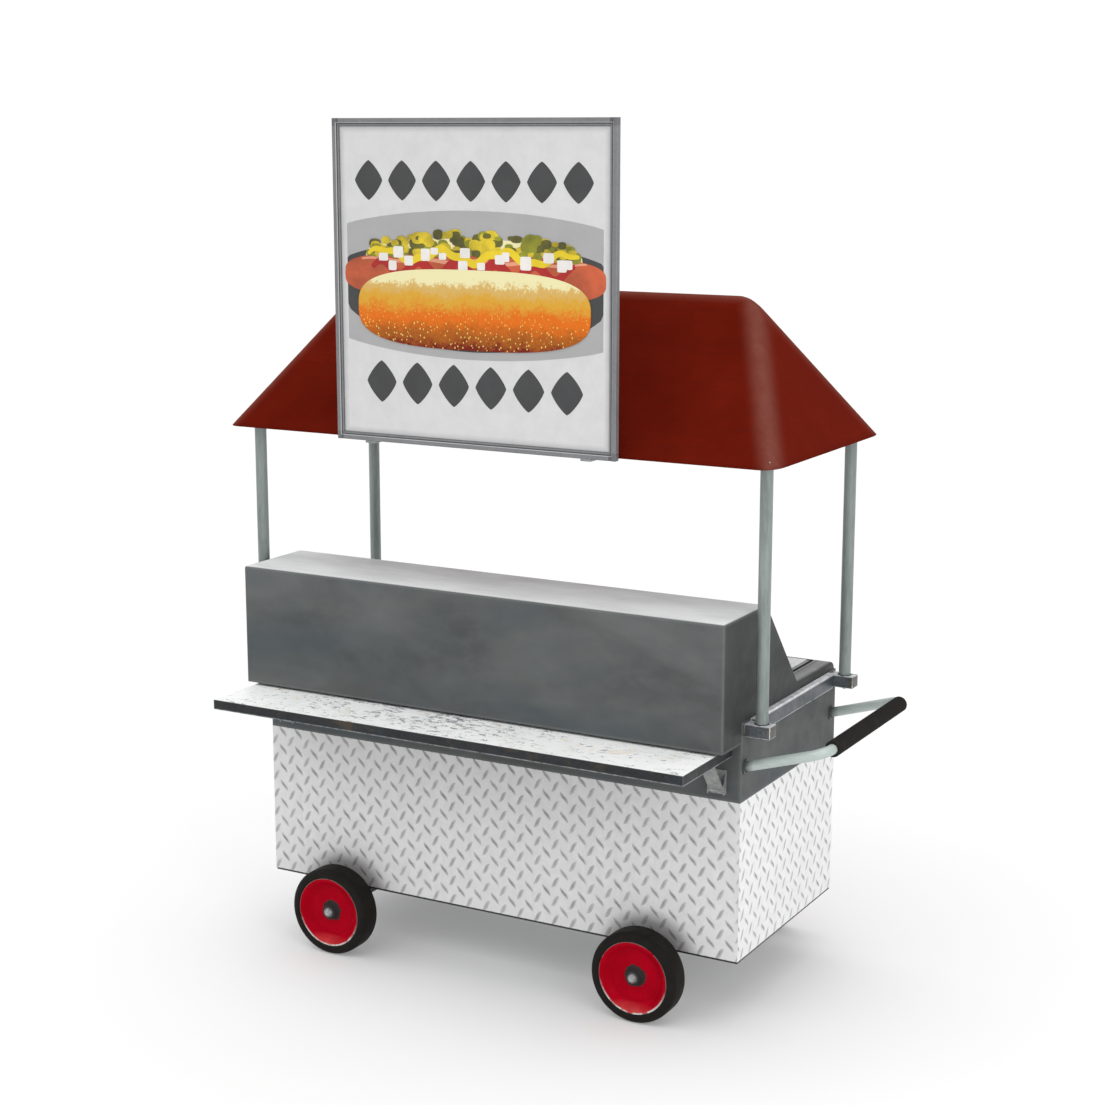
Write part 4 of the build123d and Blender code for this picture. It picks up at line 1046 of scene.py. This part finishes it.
def eave_scale(x, y):
    """How far to scale a point of the square-cornered eave to bring it to the eave's height."""
    low, high = 0.9, 1.02
    for _ in range(40):
        middle = (low + high) / 2
        if canopy_height(x * middle, y * middle) > EAVE_Z:
            low = middle
        else:
            high = middle
    return low


def canopy_point(u, v):
    """A point of the sheet for u and v from -1 to 1 across its plan."""
    reach = max(abs(u), abs(v), 1e-9)
    corner = (u / reach * EAVE_HALF[0], v / reach * EAVE_HALF[1])
    scale = 1 + (eave_scale(*corner) - 1) * reach ** 8
    x = u * EAVE_HALF[0] * scale
    y = v * EAVE_HALF[1] * scale
    return Vector((CANOPY_MID.x + x, CANOPY_MID.y + y, canopy_height(x, y))), canopy_roll(x, y)


def build_canopy():
    across, along = 72, 168
    vertices = []
    rolls = []
    for i in range(along + 1):
        for j in range(across + 1):
            point, roll = canopy_point(2 * i / along - 1, 2 * j / across - 1)
            vertices.append(point)
            rolls.append(roll)
    width = across + 1
    faces = []
    for i in range(along):
        for j in range(across):
            a = i * width + j
            faces.append((a, a + width, a + width + 1, a + 1))
    made = piece("canopy_sheet", vertices, faces, canopy_finish(), "cart", True, "canopy_fabric")
    bend = made.data.attributes.new("roll", "FLOAT", "POINT")
    bend.data.foreach_set("value", rolls)
    thick = made.modifiers.new("cloth", "SOLIDIFY")
    thick.thickness = 1.6 * MM
    thick.offset = -1.0
    thick.use_even_offset = True
    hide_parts("canopy")


build_canopy()


# ------------------------------------------------------------ sign picture

SIGN_LOW, SIGN_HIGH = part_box("sign_panel")
SIGN_MID = (SIGN_LOW + SIGN_HIGH) / 2
LAYER = 0.35 * MM


def printed(name, outline, layer, material):
    """A flat printed shape on a layer in front of the board. outline is (x, z) from its middle."""
    front = SIGN_LOW.y - LAYER * layer
    back = SIGN_LOW.y + 0.1 * MM
    count = len(outline)
    vertices = [(SIGN_MID.x + x, front, SIGN_MID.z + z) for x, z in outline]
    vertices += [(SIGN_MID.x + x, back, SIGN_MID.z + z) for x, z in outline]
    faces = [tuple(range(count)), tuple(reversed(range(count, 2 * count)))]
    faces += [(i, (i + 1) % count, (i + 1) % count + count, i + count) for i in range(count)]
    return outward(piece(name, vertices, faces, material, "cart", False, "sign_board"))


def oval(half_x, half_z, mid=(0.0, 0.0), power=2.0, count=64, clip=None):
    points = []
    for i in range(count):
        turn = 2 * math.pi * i / count
        c, s = math.cos(turn), math.sin(turn)
        x = mid[0] + half_x * math.copysign(abs(c) ** (2 / power), c)
        z = mid[1] + half_z * math.copysign(abs(s) ** (2 / power), s)
        points.append((max(-clip, min(clip, x)) if clip else x, z))
    before = points[-1:] + points[:-1]
    return [p for p, q in zip(points, before) if (abs(p[0] - q[0]) + abs(p[1] - q[1])) > 1e-6]


def band(name, path, half_width, layer, material):
    """A printed band of even width along a path of (x, z), in strips so that it may turn on itself."""
    front = SIGN_LOW.y - LAYER * layer
    back = SIGN_LOW.y + 0.1 * MM
    vertices = []
    for i, (x, z) in enumerate(path):
        ax, az = path[max(i - 1, 0)]
        bx, bz = path[min(i + 1, len(path) - 1)]
        dx, dz = bx - ax, bz - az
        size = math.hypot(dx, dz)
        swell = math.sin(math.pi * (i + 0.6) / (len(path) + 0.2)) ** 0.22
        nx, nz = -dz / size * half_width * swell, dx / size * half_width * swell
        for sign, depth in ((1, front), (-1, front), (-1, back), (1, back)):
            vertices.append((SIGN_MID.x + x + sign * nx, depth, SIGN_MID.z + z + sign * nz))
    faces = [(0, 1, 2, 3), tuple(len(vertices) - 1 - k for k in range(4))]
    for i in range(len(path) - 1):
        a = i * 4
        faces += [(a + k, a + 4 + k, a + 4 + (k + 1) % 4, a + (k + 1) % 4) for k in range(4)]
    return outward(piece(name, vertices, faces, material, "cart", False, "sign_board"))


def build_picture():
    """A plain hot dog on an oval plate, between two rows of diamonds."""
    pale = painted("print_pale_grey", grey(0.385), 0.5, dark=0.93)
    dark = painted("print_dark_grey", (0.048, 0.049, 0.051), 0.5)
    sausage = painted("print_sausage", (0.62, 0.110, 0.034), 0.45, 120, 0.1, 0.55)
    glint = painted("print_glint", (0.80, 0.33, 0.20), 0.45)
    mustard = painted("print_mustard", (0.83, 0.62, 0.008), 0.4)
    relishes = [painted(f"print_relish_{tone}", shade, 0.5, 60, 0.1, 0.30) for tone, shade in (
        ("green", (0.34, 0.34, 0.014)), ("gold", (0.82, 0.62, 0.016)), ("olive", (0.15, 0.14, 0.012)))]
    onion = painted("print_onion", (0.84, 0.80, 0.76), 0.5, dark=0.82)
    sauce = painted("print_sauce", (0.44, 0.008, 0.006), 0.4)
    half = (SIGN_HIGH.x - SIGN_LOW.x) / 2 - 24 * MM
    printed("sign_oval", oval(0.78, 0.232, (0, 0.0), 2.0, 96, half), 1, pale)
    plate = [(x, 0.028 + z * (0.110 if z > 0 else 0.236)) for x, z in oval(0.529, 1.0, (0, 0), 2.0, 72, half)]
    printed("sign_plate", plate, 2, dark)
    crust = bun_finish("print_bun_back", 2.30, 2.42)
    printed("sign_bun_back", oval(0.395, 0.060, (0, 0.085), 2.6), 3, crust)
    printed("sign_sausage", oval(0.476, 0.072, (0, 0.026), 3.4), 4, sausage)
    shine = [(-0.41 + 0.82 * i / 60, 0.074 + 0.004 * math.sin(i * 0.45)) for i in range(61)]
    band("sign_glint", shine, 0.006, 5, glint)
    red = [(-0.37 + 0.74 * i / 110, 0.048 + 0.022 * math.sin(i * 0.30)) for i in range(111)]
    band("sign_sauce", red, 0.017, 5.5, sauce)
    for i in range(150):
        along = rng.uniform(-0.385, 0.385)
        rise = 0.094 + 0.070 * (1 - (along / 0.41) ** 2) ** 0.6 * rng.random()
        size = rng.uniform(0.012, 0.024)
        outline = oval(size, size * rng.uniform(0.5, 0.9), (along, rise), 2.6, 12)
        printed(f"sign_relish_{i:03d}", outline, 6 + 0.012 * i, relishes[rng.randrange(3)])
    wave = [(-0.385 + 0.77 * i / 140, 0.090 + 0.017 * math.sin(i * 0.155) + 0.006 * math.sin(i * 0.41))
            for i in range(141)]
    band("sign_mustard", wave, 0.0125, 8.2, mustard)
    for i in range(17):
        along = -0.37 + 0.74 * (i + rng.random()) / 17
        size = rng.uniform(0.013, 0.020)
        outline = oval(size, size * rng.uniform(0.7, 1.15), (along, rng.uniform(0.055, 0.120)), 7, 16)
        printed(f"sign_onion_{i:02d}", outline, 8.5 + 0.02 * i, onion)
    crust = bun_finish("print_bun_front", 2.126, 2.378)
    printed("sign_bun_front", oval(0.425, 0.126, (0, -0.077), 3.0, 96), 9.5, crust)
    for row, rise, count, size in (("upper", 0.322, 7, 0.052), ("lower", -0.318, 6, 0.056)):
        for i in range(count):
            mid = ((i - (count - 1) / 2) * size * 2.44, rise)
            printed(f"sign_diamond_{row}_{i}", oval(size, size * 1.2, mid, 1.25, 48), 1, dark)


build_picture()


# ------------------------------------------------------------ small parts


def build_brackets():
    """Bevelled blocks that hold the posts, one at each corner."""
    low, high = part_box("post_brackets")
    work = bmesh.new()
    for side_x in (-1, 1):
        for side_y in (-1, 1):
            x_out = high.x if side_x > 0 else low.x
            y_out = high.y if side_y > 0 else low.y
            x_in = x_out - side_x * BRACKET_LENGTH
            y_in = y_out - side_y * BRACKET_BREADTH
            corners = [(x, y, z) for x in (x_in, x_out) for y in (y_in, y_out) for z in (low.z, high.z)]
            block = [work.verts.new(c) for c in corners]
            for quad in ((0, 1, 3, 2), (4, 6, 7, 5), (0, 4, 5, 1), (2, 3, 7, 6), (0, 2, 6, 4), (1, 5, 7, 3)):
                work.faces.new([block[k] for k in quad])
    bmesh.ops.bevel(work, geom=work.edges[:], offset=4.5 * MM, segments=4, profile=0.6, affect="EDGES")
    bmesh.ops.recalc_face_normals(work, faces=work.faces)
    made = piece("bracket_blocks", [], [], bracket_finish(low, high), slot="bright_steel")
    work.to_mesh(made.data)
    work.free()
    made.data.shade_smooth()
    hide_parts("post_brackets")


build_brackets()


def build_sign_frame():
    """Four extruded bars: an outer band, a groove and a thinner inner lip. The uprights run full height."""
    low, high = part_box("sign_frame")
    depth = high.y - low.y
    profile = [
        (0.0, depth), (0.0, 1.6 * MM), (1.6 * MM, 0.0), (13.6 * MM, 0.0), (15.4 * MM, 1.8 * MM),
        (16.6 * MM, 4.2 * MM), (18.2 * MM, 4.2 * MM), (19.0 * MM, 3.0 * MM), (23.2 * MM, 3.0 * MM),
        (24.0 * MM, 3.8 * MM), (24.0 * MM, depth),
    ]
    count = len(profile)
    closing = [tuple(range(count)), tuple(reversed(range(count, 2 * count)))]
    around = [(k, (k + 1) % count, (k + 1) % count + count, k + count) for k in range(count)]
    groups = []
    for x_edge, inward in ((low.x, 1), (high.x, -1)):
        vertices = [(x_edge + inward * reach, low.y + back, z)
                    for z in (low.z, high.z) for reach, back in profile]
        groups.append((vertices, closing + around))
    ends = (low.x + 23.9 * MM, high.x - 23.9 * MM)
    for z_edge, inward in ((low.z, 1), (high.z, -1)):
        vertices = [(x, low.y + back, z_edge + inward * reach) for x in ends for reach, back in profile]
        groups.append((vertices, closing + around))
    made = outward(piece("sign_frame_bars", *gather(*groups), ALU, "cart", False, "sign_alu"))
    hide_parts("sign_frame")


build_sign_frame()


def build_gasket():
    """A black seal round the tank's flange, proud of the worktop."""
    low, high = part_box("water_tank")
    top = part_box("counter_top")[1].z
    x0, y0, x1, y1 = low.x - 0.1 * MM, low.y - 0.1 * MM, high.x + 0.1 * MM, high.y + 0.1 * MM
    rows = []
    for grow, rise in ((0.0, -0.1), (0.0, 2.4), (1.2, 3.2), (6.4, 3.2), (7.6, 2.0), (7.6, -0.1)):
        grow, height = grow * MM, top + rise * MM
        rows.append([(x0 - grow, y0 - grow, height), (x1 + grow, y0 - grow, height),
                     (x1 + grow, y1 + grow, height), (x0 - grow, y1 + grow, height)])
    vertices = [corner for row in rows for corner in row]
    rubber = painted("gasket_rubber", grey(0.010), 0.7, specular=0.15)
    outward(piece("tank_gasket", vertices, tube_faces(len(rows), 4), rubber, "cart", False, "knob_plastic"))


build_gasket()


def build_post_rings():
    # Near-black rings round the posts' feet, a painted shade for the recess round each post.
    dark = painted("post_recess_shade", (0.035, 0.037, 0.037), 0.5)
    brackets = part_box("post_brackets")
    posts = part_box("roof_posts")
    groups = []
    for x in (posts[0].x + 20 * MM, posts[1].x - 20 * MM):
        for y in (posts[0].y + 20 * MM, posts[1].y - 20 * MM):
            groups.append(ring((x, y, brackets[1].z - 0.2 * MM), (0, 0, 1), 20.02 * MM, 23.5 * MM, 2.0 * MM))
    outward(piece("post_base_shade_rings", *gather(*groups), dark, "cart", False, "chassis_paint"))


build_post_rings()


# ------------------------------------------------------------ camera, floor and light


CAMERA_PLACE = (BODY_X + 3.44175, -6.0142, 2.8091)
CAMERA_DOWN = 11.4068
CAMERA_LEFT = 29.2375
LENS = 68.33
FLOOR_HALF = 60
FLOOR_GLOW = 0.175
SKY_LIGHT = 0.72
SUN_LIGHT = 1.62
SUN_SPREAD = 92
SUN_TILT = (9, -13)
PANEL_LIGHT = 68
PANEL_SIZE = 2.6
PANEL_PLACE = (5.2, -3.4, 3.0)
PANEL_AIM = (0, 0, 1.0)


def build_stage():
    scene = bpy.context.scene
    scene.view_settings.view_transform = "Standard"
    data = bpy.data.cameras.new("camera")
    data.lens = LENS
    data.sensor_width = 36
    camera = bpy.data.objects.new("camera", data)
    camera.location = CAMERA_PLACE
    camera.rotation_euler = (math.radians(90 - CAMERA_DOWN), 0, math.radians(CAMERA_LEFT))
    scene.collection.objects.link(camera)
    scene.camera = camera

    floor_mesh = bpy.data.meshes.new("floor")
    corners = [(x * FLOOR_HALF, y * FLOOR_HALF, 0) for x, y in ((-1, -1), (1, -1), (1, 1), (-1, 1))]
    floor_mesh.from_pydata(corners, [], [(0, 1, 2, 3)])
    floor = bpy.data.objects.new("floor", floor_mesh)
    scene.collection.objects.link(floor)
    made = Finish("floor_plain", grey(0.70), 1.0, 0.0, specular=0.0)
    made.shader.inputs["Emission Color"].default_value = (1, 1, 1, 1)
    made.shader.inputs["Emission Strength"].default_value = FLOOR_GLOW
    floor_mesh.materials.append(made.material)

    world = bpy.data.worlds.new("studio")
    world.use_nodes = True
    tree = world.node_tree
    lit = tree.nodes["Background"]
    lit.inputs["Color"].default_value = (1, 1, 1, 1)
    lit.inputs["Strength"].default_value = SKY_LIGHT
    seen = tree.nodes.new("ShaderNodeBackground")
    seen.inputs["Color"].default_value = (1, 1, 1, 1)
    seen.inputs["Strength"].default_value = 1.0
    path = tree.nodes.new("ShaderNodeLightPath")
    choice = tree.nodes.new("ShaderNodeMixShader")
    tree.links.new(path.outputs["Is Camera Ray"], choice.inputs["Fac"])
    tree.links.new(lit.outputs["Background"], choice.inputs[1])
    tree.links.new(seen.outputs["Background"], choice.inputs[2])
    tree.links.new(choice.outputs["Shader"], tree.nodes["World Output"].inputs["Surface"])
    scene.world = world

    sun = bpy.data.lights.new("soft_overhead", "SUN")
    sun.energy = SUN_LIGHT
    sun.angle = math.radians(SUN_SPREAD)
    lamp = bpy.data.objects.new("soft_overhead", sun)
    lamp.rotation_euler = (math.radians(SUN_TILT[0]), math.radians(SUN_TILT[1]), 0)
    scene.collection.objects.link(lamp)

    key = bpy.data.lights.new("side_panel", "AREA")
    key.energy = PANEL_LIGHT
    key.size = PANEL_SIZE
    lamp = bpy.data.objects.new("side_panel", key)
    lamp.location = PANEL_PLACE
    lamp.rotation_euler = (Vector(PANEL_AIM) - Vector(PANEL_PLACE)).to_track_quat("-Z", "Y").to_euler()
    scene.collection.objects.link(lamp)


build_stage()
